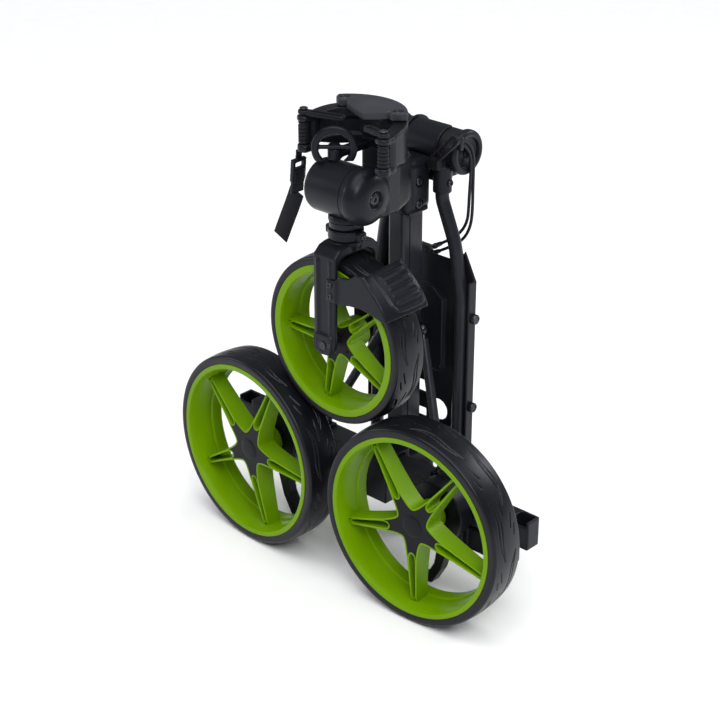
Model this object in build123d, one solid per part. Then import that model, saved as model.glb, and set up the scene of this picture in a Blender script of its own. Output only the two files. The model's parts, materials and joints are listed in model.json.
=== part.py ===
"""Folded three-wheel golf push cart, standing upright on its rear tyres and a prop foot.

Millimetres, +Z up. The datum used while drawing is the mid-plane x = 0, the plane of the rear
rims' front faces y = 0 and the floor z = 0; save() moves every piece so that the finished
model's origin is the middle of its footprint.
"""
from math import cos, degrees, radians, sin
from build123d import *
import os

# ---- driving dimensions ----------------------------------------------------------------------
FOOTPRINT_MID_Y = 123.23      # datum y that becomes y = 0 in the finished model
RUNNING = 0.05               # radial clearance of a pin or shaft in its bore
APART = 0.4                  # gap between pieces of different bodies

# rear wheels
REAR_R = 145.0
REAR_LIP_R = 131.0
REAR_WIDTH = 58.0
REAR_HUB_X = 158.0
REAR_HUB_Z = 145.0
TOE = radians(3.3)

# front wheel, fork and neck
FRONT_R = 120.0
FRONT_LIP_R = 107.0
FRONT_WIDTH = 56.0
FRONT_FACE_Y = 20.0
FRONT_HUB_Z = 363.0
NECK_Y = 50.0
AXLE_R = 6.0
BEARING_R = 13.0
HUB_FACE_Z = -13.0
SPOKE_PHASE = {"right": -90.0, "left": -77.0, "front": 112.0}

# hinge housing on the column's top
HOUSING_Z = (514.0, 588.0)
HOUSING_SCREW_Z = (558.0, 525.0)
COVER_SCREW = (47.0, 98.0)

# braces
STRUT_TOP = (30.0, 172.0, 340.0)
STRUT_BOTTOM = (110.0, 124.0, 166.0)
STRUT_R = 6.5

# front fold joint
FOLD_Y = 50.0
FOLD_Z = 570.0
BARREL_R = 36.0
BARREL_X = (-45.0, 28.0)
CHEEK_R = 39.0
CHEEK_X = (28.0 + APART, 54.0)
FOLD_PIN_R = 7.0

# column
COLUMN_HALF_X = 14.0
COLUMN_Y = (147.0, 190.0)
COLUMN_Z = (100.0, 585.0)
COLUMN_WALL = 2.5

# rear beam and wheel arms
BEAM_HALF = 222.0
BEAM_Y = (104.0, 136.0)
BEAM_Z = (116.0, 157.0)
ARM_PIN_X = 240.0
ARM_PIN_Y = 120.0
ARM_PIN_R = 5.0
ARM_Z = (79.0, 112.0)
CAP_X = 278.0
PIN_TOP_Z = 150.0
CAP_Y = (106.0, 131.0)
ARM_LEG = [(134, 172), (178, 172), (178, 112), (163, 76), (153, 43), (138, 17), (99, 14), (99, 22),
           (128, 26), (142, 52), (146, 76), (134, 112)]   # (x, z) outline of the right wheel arm's leg
ARM_LEG_Y = (74.0, 92.0)
DRUM_R = 44.0

# handle frame
PIVOT_Y = 194.0
PIVOT_Z = 88.0
PIVOT_R = 6.0
TUBE_X = 77.0
TUBE_TOP_X = 42.0
TUBE_Y = 200.0
TUBE_TOP_Y = 194.0
TUBE_R = 9.5
HEAD_Y = 218.0
HEAD_Z = 594.0
HEAD_R = 28.0
DISC_R = 31.0
DISC_X = (55.0, 67.0)
CABLE_R = 2.2
TUBE_ROUTE = [(TUBE_X, TUBE_Y - 4, 78), (TUBE_X, TUBE_Y, 390), (63, TUBE_Y - 2, 470),
              (TUBE_TOP_X, TUBE_TOP_Y, 530), (TUBE_TOP_X, TUBE_TOP_Y, 566)]
TUBE_BENDS = [90, 120, 40]
TUBE_WALL = 1.8
PANEL_Y = (206.0, 210.0)
KNOB_Z = (365.0, 229.0)
HOOK_FOOT = (36.0, 177.0, 584.0)
FERRULE_R = 3.4
FERRULE_LENGTH = 16.0
CABLE_ROUTES = [
    [(69.8, 201.1, 617.5), (69.9, 209, 613), (70, 219, 602), (70, 224, 588), (70, 224.5, 570),
     (70, 224.5, 540), (70, 225, 512), (67, 226, 488), (56, 226, 466), (36, 223, 450), (18, 217, 440)],
    [(69.8, 201.1, 610.5), (69.9, 206, 607), (70, 214, 598), (70, 218.6, 586), (70, 219.2, 564),
     (67.5, 220.5, 540), (64, 224, 515), (61, 226, 494), (51.5, 226, 476), (37, 223, 462), (21, 217, 452)],
]

# lower bag bracket
BRACKET_Y = 56.0
BRACKET_OUTER_R = 75.0
BRACKET_INNER_R = 63.0
BRACKET_Z = (612.0, 664.0)
COVER_TOP_Z = 676.0
BRACKET_TIP_X = 70.0
BRACKET_TIP_Y = 45.0
TIP_PIN_R = 3.0
HOOK_Z = 658.0

# strap tail: its buckle's top, where webbing and buckle meet, and the free end
STRAP_TOP = (-80.0, 45.0, 602.0)
STRAP_JOINT = (-85.0, 45.0, 548.0)
STRAP_END = (-118.0, 45.0, 475.0)

# latch
LATCH_X = -20.0
LATCH_R = 4.0
LATCH_TRAVEL = 3.5
RING_R = (21.5, 29.0)
RING_FORWARD = 6.0


# ---- small builders --------------------------------------------------------------------------
def block(low, high):
    """A box between two corners."""
    size = [b - a for a, b in zip(low, high)]
    middle = [(a + b) / 2 for a, b in zip(low, high)]
    return Pos(*middle) * Box(*size)


def rod(start, end, radius):
    """A round bar between two points."""
    start, end = Vector(*start), Vector(*end)
    return Plane(origin=(start + end) / 2, z_dir=end - start) * Cylinder(radius, (end - start).length)


def screw(tip, direction, shank_r, length, head_r, head_h):
    """A pan-head screw whose head sits on tip and whose shank points along direction."""
    tip = Vector(*tip)
    direction = Vector(*direction).normalized()
    shank = rod(tip, tip + direction * length, shank_r)
    head = rod(tip, tip - direction * head_h, head_r)
    recess = rod(tip - direction * head_h * 0.4, tip - direction * head_h * 1.1, head_r * 0.4)
    return shank + head - recess


def extrude_xy(points, z_low, z_high):
    """A prism on an outline in the XY plane."""
    return extrude(Plane.XY.offset(z_low) * make_face(Polyline(*points, close=True)), z_high - z_low)


def extrude_xz(points, y_low, y_high):
    """A prism on an outline in the XZ plane."""
    return extrude(Plane.XZ.offset(-y_high) * make_face(Polyline(*points, close=True)), y_high - y_low)


def pipe(points, corner_radii, radius):
    """A round bar along straight runs joined by tangent arcs."""
    path = FilletPolyline(*points, radius=corner_radii)
    return sweep(Plane(origin=path @ 0, z_dir=path % 0) * Circle(radius), path=path)


def mirrored(solid):
    """The same shape on the other side of the mid-plane."""
    return mirror(solid, about=Plane.YZ)


def both_sides(solid):
    """The shape and its mirror image, as two solids."""
    return [solid, mirrored(solid)]


def arc_radii(points, share=0.45):
    """For each corner, the largest arc radius that takes no more than share of its runs."""
    radii = []
    for before, corner, after in zip(points, points[1:], points[2:]):
        run_in, run_out = Vector(*corner) - Vector(*before), Vector(*after) - Vector(*corner)
        half_turn = radians(run_in.get_angle(run_out)) / 2
        radii.append(share * min(run_in.length, run_out.length) / sin(half_turn) * cos(half_turn))
    return radii


def save(name, *shapes):
    """Write one node, made of one or more separate solids, in the finished model's frame."""
    solids = []
    for shape in shapes:
        solids += shape.solids() if hasattr(shape, "solids") else [s for part in shape for s in part.solids()]
    moved = [Pos(0, -FOOTPRINT_MID_Y, 0) * solid for solid in solids]
    export_step(moved[0] if len(moved) == 1 else Compound(children=moved), f"parts/{name}.step")


# ---- wheels: drawn with the face plane at z = 0, facing +Z ------------------------------------
def rim(lip_r, width, hub_r, phase):
    """Deep barrel with two lips, five slotted spokes and a bored hub. phase turns the spokes."""
    barrel_r = lip_r - 6.5
    wall_in = lip_r - 10.5
    ring = Pos(0, 0, -width / 2) * (Cylinder(barrel_r, width) - Cylinder(wall_in, width))
    for z in (-1.75, 1.75 - width):
        ring += Pos(0, 0, z) * (Cylinder(lip_r, 3.5) - Cylinder(wall_in, 3.5))
    reach = wall_in + 1.5
    spoke_face = make_face(Polyline((hub_r - 4, -17), (reach, -4), (reach, 4), (hub_r - 4, 17), close=True))
    slot_face = make_face(Polyline((hub_r + 14, -5.5), (reach - 16, -1.6), (reach - 16, 1.6),
                                   (hub_r + 14, 5.5), close=True))
    spoke = extrude(Plane.XY.offset(-34) * (spoke_face - slot_face), 21)
    hub_z = (HUB_FACE_Z, 2 - width)
    wheel = ring + Pos(0, 0, sum(hub_z) / 2) * Cylinder(hub_r, hub_z[0] - hub_z[1])
    for i in range(5):
        wheel += Rot(0, 0, phase + 72 * i) * spoke
    for z in bearing_places(width):
        wheel -= Pos(0, 0, z) * Cylinder(BEARING_R, 10)
    wheel -= Pos(0, 0, -width / 2) * Cylinder(AXLE_R + 2, width + 2)
    return wheel


def bearing_places(width):
    """Heights of the two bearing seats' middles."""
    return HUB_FACE_Z - 5, 7 - width


def bearings(width):
    """Two ball bearings, drawn as plain rings, in the hub's two seats."""
    rings = []
    for z in bearing_places(width):
        rings.append(Pos(0, 0, z) * (Cylinder(BEARING_R, 9) - Cylinder(AXLE_R + RUNNING, 9)))
    return rings


def tyre(outer_r, lip_r, width):
    """Solid rubber tyre: flat sidewalls that overhang the rim's lips, and a slightly crowned tread."""
    seat = lip_r - 6.5
    half = width / 2 - 1
    groove = width / 2 - 3.5
    shoulder = outer_r - 4
    section = make_face([
        Polyline((shoulder, -half), (lip_r, -half), (lip_r, -groove), (seat, -groove), (seat, groove),
                 (lip_r, groove), (lip_r, half), (shoulder, half)),
        ThreePointArc((shoulder, half), (outer_r, 0), (shoulder, -half)),
    ])
    return Pos(0, 0, -width / 2) * revolve(Plane.XZ * section, axis=Axis.Z)


def star_cap(tip_r, waist_r, thickness):
    """Five-pointed cap with hollow sides, closing the hub. Its first point lies along +X."""
    points = []
    for i in range(10):
        angle = radians(36 * i)
        radius = tip_r if i % 2 == 0 else waist_r
        points.append((radius * cos(angle), radius * sin(angle)))
    back = HUB_FACE_Z + APART
    cap = extrude(Plane.XY.offset(back) * make_face(Polyline(*points, close=True)), thickness)
    return cap + Pos(0, 0, back + thickness + 0.5) * Cylinder(waist_r - 4, 1)


def rear_place(side):
    """Plane of a rear rim's face, toed outwards. side is +1 for the right wheel, -1 for the left."""
    return Plane(origin=(side * REAR_HUB_X, 0, REAR_HUB_Z), x_dir=(cos(TOE), side * sin(TOE), 0),
                 z_dir=(side * sin(TOE), -cos(TOE), 0))


FRONT_PLACE = Plane(origin=(0, FRONT_FACE_Y, FRONT_HUB_Z), x_dir=(1, 0, 0), z_dir=(0, -1, 0))


def rear_wheels():
    for side, name in ((1, "right"), (-1, "left")):
        place = rear_place(side)
        phase = SPOKE_PHASE[name]
        save(f"rear_rim_{name}", place * rim(REAR_LIP_R, REAR_WIDTH, 26.0, phase))
        save(f"rear_tyre_{name}", place * tyre(REAR_R, REAR_LIP_R, REAR_WIDTH))
        save(f"rear_hub_cap_{name}", place * Rot(0, 0, phase) * star_cap(44.0, 25.0, 3.5))
        save(f"rear_bearings_{name}", [place * ring for ring in bearings(REAR_WIDTH)])


def front_wheel():
    save("front_rim", FRONT_PLACE * rim(FRONT_LIP_R, FRONT_WIDTH, 26.0, SPOKE_PHASE["front"]))
    save("front_tyre", FRONT_PLACE * tyre(FRONT_R, FRONT_LIP_R, FRONT_WIDTH))
    cap = Rot(0, 0, SPOKE_PHASE["front"]) * star_cap(38.0, 24.0, 3.5)
    cap -= Pos(0, 0, -10) * Cylinder(AXLE_R + 1, 12)
    save("front_hub_cap", FRONT_PLACE * cap)
    save("front_bearings", [FRONT_PLACE * ring for ring in bearings(FRONT_WIDTH)])


# ---- wheel arms ------------------------------------------------------------------------------
def wheel_arms():
    """Swinging arms that hang from the beam's ends and carry the rear wheels."""
    for side, name in ((1, "right"), (-1, "left")):
        knuckle = rod((ARM_PIN_X, ARM_PIN_Y, ARM_Z[0]), (ARM_PIN_X, ARM_PIN_Y, ARM_Z[1]), 12)
        channel = block((140, BEAM_Y[0] - 2, ARM_Z[0]), (ARM_PIN_X, BEAM_Y[1] + 2, ARM_Z[1]))
        channel -= block((146, BEAM_Y[0] + 2, ARM_Z[0] - 1), (ARM_PIN_X - 20, BEAM_Y[1] - 2, ARM_Z[1] - 4))
        channel -= block((ARM_PIN_X - 8, BEAM_Y[0] - 4, ARM_Z[0] - 1),
                         (ARM_PIN_X + 8, CAP_Y[0] + 2, ARM_Z[1] + 1))
        leg = extrude_xz(ARM_LEG, *ARM_LEG_Y)
        leg += block((134, ARM_LEG_Y[1] - 2, ARM_Z[0]), (178, BEAM_Y[0], ARM_Z[1]))
        leg += Pos(REAR_HUB_X - 4, 86, 172) * Rot(90, 0, 0) * Cylinder(22, 12)
        drum = rear_place(1)
        drum_disc = drum * Pos(0, 0, -72.5) * Cylinder(DRUM_R, 26)
        shape = knuckle + channel + leg + drum_disc
        shape -= rod((ARM_PIN_X, ARM_PIN_Y, 60), (ARM_PIN_X, ARM_PIN_Y, 180), ARM_PIN_R + RUNNING)
        shape -= drum * Pos(0, 0, -68) * Cylinder(AXLE_R, 40)
        axle = drum * Pos(0, 0, -49.55) * Cylinder(AXLE_R, 72.9)
        axle += drum * Pos(0, 0, -13.1) * Cylinder(7.4, 0.5)
        save(f"wheel_arm_{name}", shape if side > 0 else mirrored(shape))
        save(f"rear_axle_{name}", axle if side > 0 else mirrored(axle))


# ---- main frame ------------------------------------------------------------------------------
def column():
    outer = block((-COLUMN_HALF_X, COLUMN_Y[0], COLUMN_Z[0]), (COLUMN_HALF_X, COLUMN_Y[1], COLUMN_Z[1]))
    outer = fillet(outer.edges().filter_by(Axis.Z), 5)
    for side in (1, -1):
        x = side * COLUMN_HALF_X
        outer -= block((x - 1.2, COLUMN_Y[0] + 13, 90), (x + 1.2, COLUMN_Y[0] + 15, 600))
    wall = COLUMN_WALL + 1.2
    bore = block((-COLUMN_HALF_X + wall, COLUMN_Y[0] + wall, 90),
                 (COLUMN_HALF_X - wall, COLUMN_Y[1] - wall, 600))
    save("column", outer - bore)


def hinge_housing():
    """Socket on the column's top, with a side web that carries the fold joint's cheek."""
    socket = block((-24, 140, HOUSING_Z[0]), (24, 192, HOUSING_Z[1]))
    socket = fillet(socket.edges().filter_by(Axis.Z), 7)
    web_points = [(CHEEK_X[0], FOLD_Y), (CHEEK_X[1], FOLD_Y), (CHEEK_X[1], 78), (44, 104), (24, 142),
                  (0, 142), (14, 108), (CHEEK_X[0], 88)]
    web = extrude_xy(web_points, 535, 606)
    cheek = rod((CHEEK_X[0], FOLD_Y, FOLD_Z), (CHEEK_X[1], FOLD_Y, FOLD_Z), CHEEK_R)
    shelf = block((-24, 106, 580), (24, 146, BRACKET_Z[0]))
    shape = socket + web + cheek + shelf
    shape -= block((-COLUMN_HALF_X, COLUMN_Y[0], 500), (COLUMN_HALF_X, COLUMN_Y[1], COLUMN_Z[1]))
    shape -= rod((0, FOLD_Y, FOLD_Z), (60, FOLD_Y, FOLD_Z), FOLD_PIN_R)
    shape -= rod((49, FOLD_Y, FOLD_Z), (60, FOLD_Y, FOLD_Z), 11)
    shape -= rod((0, FOLD_Y, FOLD_Z), (CHEEK_X[0], FOLD_Y, FOLD_Z), BARREL_R + 2)
    shape -= rod((-60, HEAD_Y, HEAD_Z), (60, HEAD_Y, HEAD_Z), HEAD_R + 4 * APART)
    save("hinge_housing", shape)
    bolt = rod((-38, FOLD_Y, FOLD_Z), (49, FOLD_Y, FOLD_Z), FOLD_PIN_R)
    bolt += rod((49, FOLD_Y, FOLD_Z), (52, FOLD_Y, FOLD_Z), 10.5)
    bolt -= rod((50, FOLD_Y, FOLD_Z), (53, FOLD_Y, FOLD_Z), 4)
    save("fold_bolt", bolt)


def bag_bracket():
    """C-shaped cradle for the bag's foot, open to the front, with a cover plate on top."""
    height = BRACKET_Z[1] - BRACKET_Z[0]
    middle = (BRACKET_Z[0] + BRACKET_Z[1]) / 2
    shell = Cylinder(BRACKET_OUTER_R, height) - Cylinder(BRACKET_INNER_R, height)
    shell = Pos(0, BRACKET_Y, middle) * shell
    shell -= block((-90, -40, 560), (90, BRACKET_Y, 720))
    for side in (1, -1):
        tip = block((62, BRACKET_TIP_Y - 7, 606), (76, BRACKET_Y + 2, HOOK_Z))
        tip -= rod((BRACKET_TIP_X, BRACKET_TIP_Y, 600), (BRACKET_TIP_X, BRACKET_TIP_Y, 680), TIP_PIN_R)
        tip -= block((62, BRACKET_TIP_Y - 8, 622), (80, BRACKET_TIP_Y + 6, 645))
        shell += tip if side > 0 else mirrored(tip)
    shell += block((-24, 106, BRACKET_Z[0]), (24, 128, BRACKET_Z[0] + 14))
    save("bag_bracket", shell)
    outline = [(-62, 92), (-40, 78), (0, 66), (40, 78), (62, 92), (58, 106), (40, 122), (0, 131),
               (-40, 122), (-58, 106)]
    cover = extrude_xy(outline, BRACKET_Z[1], COVER_TOP_Z)
    cover = chamfer(cover.faces().sort_by(Axis.Z)[-1].edges(), 4)
    for side in (1, -1):
        x, y = side * COVER_SCREW[0], COVER_SCREW[1]
        cover -= rod((x, y, BRACKET_Z[1] - 5), (x, y, COVER_TOP_Z + 5), 4)
        cover -= rod((x, y, COVER_TOP_Z - 2), (x, y, COVER_TOP_Z + 5), 7)
    save("bracket_cover", cover)
    pin_top = HOOK_Z + 8 + 2 * APART
    pins = rod((BRACKET_TIP_X, BRACKET_TIP_Y, 606), (BRACKET_TIP_X, BRACKET_TIP_Y, pin_top), TIP_PIN_R)
    pins += rod((BRACKET_TIP_X, BRACKET_TIP_Y, pin_top), (BRACKET_TIP_X, BRACKET_TIP_Y, pin_top + 1.6), 6)
    save("bracket_pins", both_sides(pins))


def strap_hooks():
    """Flat rubber loops that turn on the bracket's tip pins."""
    z = HOOK_Z + APART
    for side, name, reach, swing in ((1, "right", 30, 168), (-1, "left", 52, 16)):
        eye = Cylinder(8, 8)
        bar = Pos(reach / 2 + 2, 0, 0) * Box(reach, 11, 8)
        loop = eye + bar + Pos(reach + 2, 0, 0) * Cylinder(5.5, 8)
        slot = Pos(reach / 2 + 7, 0, 0) * Box(reach - 14, 3.6, 10)
        shape = loop - slot - Cylinder(TIP_PIN_R + RUNNING, 12)
        place = Pos(side * BRACKET_TIP_X, BRACKET_TIP_Y, z + 4) * Rot(0, 0, swing)
        save(f"strap_hook_{name}", place * shape)


def strap():
    """Webbing tail that hangs from the left tip of the bracket, with its buckle."""
    top, joint, end = Vector(*STRAP_TOP), Vector(*STRAP_JOINT), Vector(*STRAP_END)
    tail_start = joint + (end - joint).normalized() * 1.2
    for name, start, stop, thick, wide in (("strap_webbing", tail_start, end, 2.4, 26),
                                           ("strap_buckle", top, joint, 7, 22)):
        run = stop - start
        place = Plane(origin=(start + stop) / 2, x_dir=(0, 1, 0), z_dir=run)
        save(name, place * Box(wide, thick, run.length))


def latch():
    """Spring plunger with a pull ring, guided in a barrel on the bracket's shelf."""
    top = FOLD_Z + BARREL_R
    x, y = LATCH_X, FOLD_Y
    guide = rod((x, y, top + 2), (x, y, top + 17), 9)
    guide += block((x - 8, y, top + 4), (x + 8, 106, top + 14))
    guide -= rod((x, y, top - 5), (x, y, top + 30), LATCH_R + RUNNING)
    guide -= rod((x, y, top + 4), (x, y, top + 15), 7.4)
    save("latch_guide", guide)
    plunger = rod((x, y, top + 0.6), (x, y, top + 23), LATCH_R)
    plunger += rod((x, y, top + 4.2), (x, y, top + 6), 7)
    save("latch_plunger", plunger)
    spring_z = top + 6 + LATCH_TRAVEL + 0.3
    spring = rod((x, y, spring_z), (x, y, top + 15), 7.2)
    spring -= rod((x, y, top), (x, y, top + 20), LATCH_R + APART)
    save("latch_spring", spring)
    centre = (x + 0.683 * RING_FORWARD, y - 0.73 * RING_FORWARD, top + 19)
    face = Plane(origin=centre, x_dir=(0.73, 0.683, 0), z_dir=(0.683, -0.73, 0))
    ring = face * (Cylinder(RING_R[1], 8) - Cylinder(RING_R[0], 10))
    ring -= block((-90, -20, 500), (90, 110, top + 2.5))
    hub_z = (top + 18, top + 23)
    ring += face * Pos(0, (hub_z[0] + hub_z[1]) / 2 - centre[2], 0) * Box(2 * RING_R[0] + 2, 5, 8)
    ring += rod((x, y, hub_z[0]), (x, y, hub_z[1]), 8)
    ring -= rod((x, y, top), (x, y, top + 30), LATCH_R)
    save("latch_ring", ring)


def rear_beam():
    beam = block((-BEAM_HALF, BEAM_Y[0], BEAM_Z[0]), (BEAM_HALF, BEAM_Y[1], BEAM_Z[1]))
    beam -= block((-BEAM_HALF - 1, BEAM_Y[0] + 3, BEAM_Z[0] + 3),
                  (BEAM_HALF + 1, BEAM_Y[1] - 3, BEAM_Z[1] - 3))
    for side in (1, -1):
        beam -= block((side * 185 - 22, BEAM_Y[0] + 11, 150), (side * 185 + 22, BEAM_Y[1] - 11, 160))
    save("rear_beam", beam)
    cap = block((BEAM_HALF, CAP_Y[0], BEAM_Z[0] - 2), (CAP_X, CAP_Y[1], BEAM_Z[1]))
    cap += block((BEAM_HALF - 12, BEAM_Y[0] + 3, BEAM_Z[0] + 3), (BEAM_HALF, BEAM_Y[1] - 3, BEAM_Z[1] - 3))
    cap -= block((ARM_PIN_X + 11, CAP_Y[0] + 4, BEAM_Z[0] + 4), (CAP_X - 4, CAP_Y[1] - 4, BEAM_Z[1] + 1))
    cap -= block((ARM_PIN_X + 11, CAP_Y[0] - 1, BEAM_Z[1] - 9), (CAP_X - 4, CAP_Y[0] + 5, BEAM_Z[1] + 1))
    cap -= rod((ARM_PIN_X, ARM_PIN_Y, 60), (ARM_PIN_X, ARM_PIN_Y, PIN_TOP_Z), ARM_PIN_R)
    save("beam_end_caps", both_sides(cap))
    pin = rod((ARM_PIN_X, ARM_PIN_Y, ARM_Z[0] - 5), (ARM_PIN_X, ARM_PIN_Y, PIN_TOP_Z), ARM_PIN_R)
    pin += rod((ARM_PIN_X, ARM_PIN_Y, ARM_Z[0] - 5), (ARM_PIN_X, ARM_PIN_Y, ARM_Z[0] - APART), 8)
    pivot = rod((-92, PIVOT_Y, PIVOT_Z), (92, PIVOT_Y, PIVOT_Z), PIVOT_R)
    save("hinge_pins", both_sides(pin), pivot)


def base_bracket():
    """Casting at the column's foot: clasps the beam, carries the handle pivot and the prop foot."""
    body = block((-32, 96, 92), (32, 200, 116)) + block((-32, 138, 100), (32, 200, 150))
    body += block((-32, 96, 116), (32, 102, 160)) + block((-32, 96, 159), (32, 146, 165))
    body += block((-32, 138, 150), (32, 146, 165))
    for x in (-58, 46):
        body += block((x, 176, 74), (x + 12, 212, 118))
    body += block((-58, 176, 100), (58, 200, 112))
    body += block((-14, 182, 6), (14, 206, 101))
    body -= block((-COLUMN_HALF_X, COLUMN_Y[0], COLUMN_Z[0]), (COLUMN_HALF_X, COLUMN_Y[1], 200))
    body -= rod((-100, PIVOT_Y, PIVOT_Z), (100, PIVOT_Y, PIVOT_Z), PIVOT_R)
    save("base_bracket", body)
    save("prop_foot", fillet(block((-20, 178, 0), (20, 210, 6)).edges().filter_by(Axis.Z), 6))


def struts():
    """Two ball-ended braces between the column's sides and the beam."""
    top, bottom = Vector(*STRUT_TOP), Vector(*STRUT_BOTTOM)
    along = (bottom - top).normalized()
    tube = rod(top + along * 14, bottom - along * 12, STRUT_R) - rod(top, bottom, STRUT_R - 1.5)
    tube += rod(top + along * 14, top + along * 20, 6) + rod(bottom - along * 20, bottom - along * 12, 6)
    ends = rod(top - along * 1, top + along * 14, 4.5) + Pos(*top) * Sphere(9)
    ends += block((COLUMN_HALF_X, 166, 334), (24, 178, 346))
    foot = rod(bottom - along * 12, bottom + along * 2, 4.5) + Pos(*bottom) * Sphere(8)
    foot += block((98, 116, BEAM_Z[1]), (122, 132, 162))
    save("strut_tubes", both_sides(tube))
    save("strut_ends", both_sides(ends), both_sides(foot))


def frame_screws():
    screws = []
    for side in (1, -1):
        for z in HOUSING_SCREW_Z:
            screws.append(screw((side * 24, 165, z), (-side, 0, 0), 3, 9.5, 6, 3.5))
        cover_place = (side * COVER_SCREW[0], COVER_SCREW[1], COVER_TOP_Z - 2)
        screws.append(screw(cover_place, (0, 0, -1), 4, 10, 6.8, 2.5))
    save("frame_screws", screws)


# ---- front arm and fork ----------------------------------------------------------------------
def front_arm():
    barrel = rod((BARREL_X[0] + 6, FOLD_Y, FOLD_Z), (BARREL_X[1], FOLD_Y, FOLD_Z), BARREL_R)
    barrel += rod((0, NECK_Y, 530), (0, NECK_Y, FOLD_Z), 20)
    barrel -= rod((-50, FOLD_Y, FOLD_Z), (50, FOLD_Y, FOLD_Z), FOLD_PIN_R + RUNNING)
    save("barrel", barrel)
    cap = rod((BARREL_X[0], FOLD_Y, FOLD_Z), (BARREL_X[0] + 6, FOLD_Y, FOLD_Z), BARREL_R - 1)
    cap -= rod((BARREL_X[0] + 3.5, FOLD_Y, FOLD_Z), (0, FOLD_Y, FOLD_Z), FOLD_PIN_R + 2)
    save("barrel_cap", cap)
    neck = rod((0, NECK_Y, 505), (0, NECK_Y, 530), 17) + rod((0, NECK_Y, 522), (0, NECK_Y, 530), 22)
    save("neck", neck)


def fork():
    """Inverted U over the front wheel, clamped to the neck."""
    crown_z = (487.0, 499.0)
    leg_half = 20.0
    leg_end_z = FRONT_HUB_Z + 5
    bore = rod((0, NECK_Y, 500), (0, NECK_Y, 530), 17 + RUNNING)
    clamp = rod((0, NECK_Y, 505 + APART), (0, NECK_Y, 520), 24)
    for side in (1, -1):
        clamp += block((side * 26 - 5, NECK_Y - 8, 506), (side * 26 + 5, NECK_Y + 8, 518))
    save("fork_clamp", clamp - bore)
    shape = rod((0, NECK_Y, crown_z[0]), (0, NECK_Y, 505), 22)
    shape += block((-leg_half, 8, crown_z[0]), (leg_half, 92, crown_z[1]))
    for y in (8, 85):
        shape += block((-leg_half, y, leg_end_z), (leg_half, y + 7, crown_z[1]))
        shape += rod((0, y, leg_end_z), (0, y + 7, leg_end_z), leg_half)
    rib = block((-12, 5, FRONT_HUB_Z + 18), (6, 8, crown_z[0] - 4))
    shape += rib - block((-9, 4, FRONT_HUB_Z + 21), (3, 9, crown_z[0] - 7))
    shape -= rod((0, 0, FRONT_HUB_Z), (0, 100, FRONT_HUB_Z), AXLE_R)
    save("fork", shape)
    axle = rod((0, 3, FRONT_HUB_Z), (0, 97, FRONT_HUB_Z), AXLE_R)
    axle += rod((0, 5, FRONT_HUB_Z), (0, 8, FRONT_HUB_Z), 9)
    axle += rod((0, 92, FRONT_HUB_Z), (0, 97, FRONT_HUB_Z), 9)
    save("front_axle", axle)


def fender():
    """Side plate on the near fork leg, and a guard over the tread that flares into a foot pad."""
    inner, outer, flared = FRONT_R + 3, FRONT_R + 11, FRONT_R + 21
    sweep_from, sweep_to = radians(31), radians(60)
    place = Plane(origin=(0, 8, FRONT_HUB_Z), x_dir=(1, 0, 0), z_dir=(0, -1, 0))

    def at(radius, angle):
        return (radius * cos(angle), radius * sin(angle))

    def sector(low, high):
        middle = (sweep_from + sweep_to) / 2
        return make_face([
            ThreePointArc(at(low, sweep_from), at(low, middle), at(low, sweep_to)),
            Line(at(low, sweep_to), at(high, sweep_to)),
            ThreePointArc(at(high, sweep_to), at(high, middle), at(high, sweep_from)),
            Line(at(high, sweep_from), at(low, sweep_from)),
        ])

    shape = extrude(place * sector(inner, outer), -36)
    shape += extrude(Plane(origin=(0, 44, FRONT_HUB_Z), x_dir=(1, 0, 0), z_dir=(0, -1, 0))
                     * sector(inner + 4, flared), -34)
    plate_outline = [(20.2, 64), (20.2, 99), (43, 107), at(outer, sweep_to), at(outer, radians(46)),
                     at(outer, sweep_from), (104, 62), (64, 70)]
    shape += extrude(place * make_face(Polyline(*plate_outline, close=True)), -6)
    for i in range(5):
        angle = sweep_from + (sweep_to - sweep_from) * (0.25 + 0.16 * i)
        centre = at(flared, angle)
        shape += place * Pos(centre[0], centre[1], -54) * Rot(0, 0, degrees(angle)) * Box(5, 4, 26)
    shape += block((6, 4.5, 430), (40, 8, 462)) + block((20.2, 4.5, 430), (40, 14, 462))
    save("fender", shape)
    screws = [screw((13, 4.5, z), (0, 1, 0), 2.5, 8, 5, 2.5) for z in (454, 438)]
    for side in (1, -1):
        screws.append(screw((side * 31, NECK_Y, 512), (-side, 0, 0), 2, 6, 4, 3))
    save("fork_screws", screws)


# ---- handle frame ----------------------------------------------------------------------------
def handle_tube():
    """Outside of the right-hand handle tube."""
    return pipe(TUBE_ROUTE, TUBE_BENDS, TUBE_R)


def handle_tubes():
    tube = handle_tube() - pipe(TUBE_ROUTE, TUBE_BENDS, TUBE_R - TUBE_WALL)
    tube -= rod((0, PIVOT_Y, PIVOT_Z), (100, PIVOT_Y, PIVOT_Z), PIVOT_R + RUNNING)
    save("handle_tubes", both_sides(tube))


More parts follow.
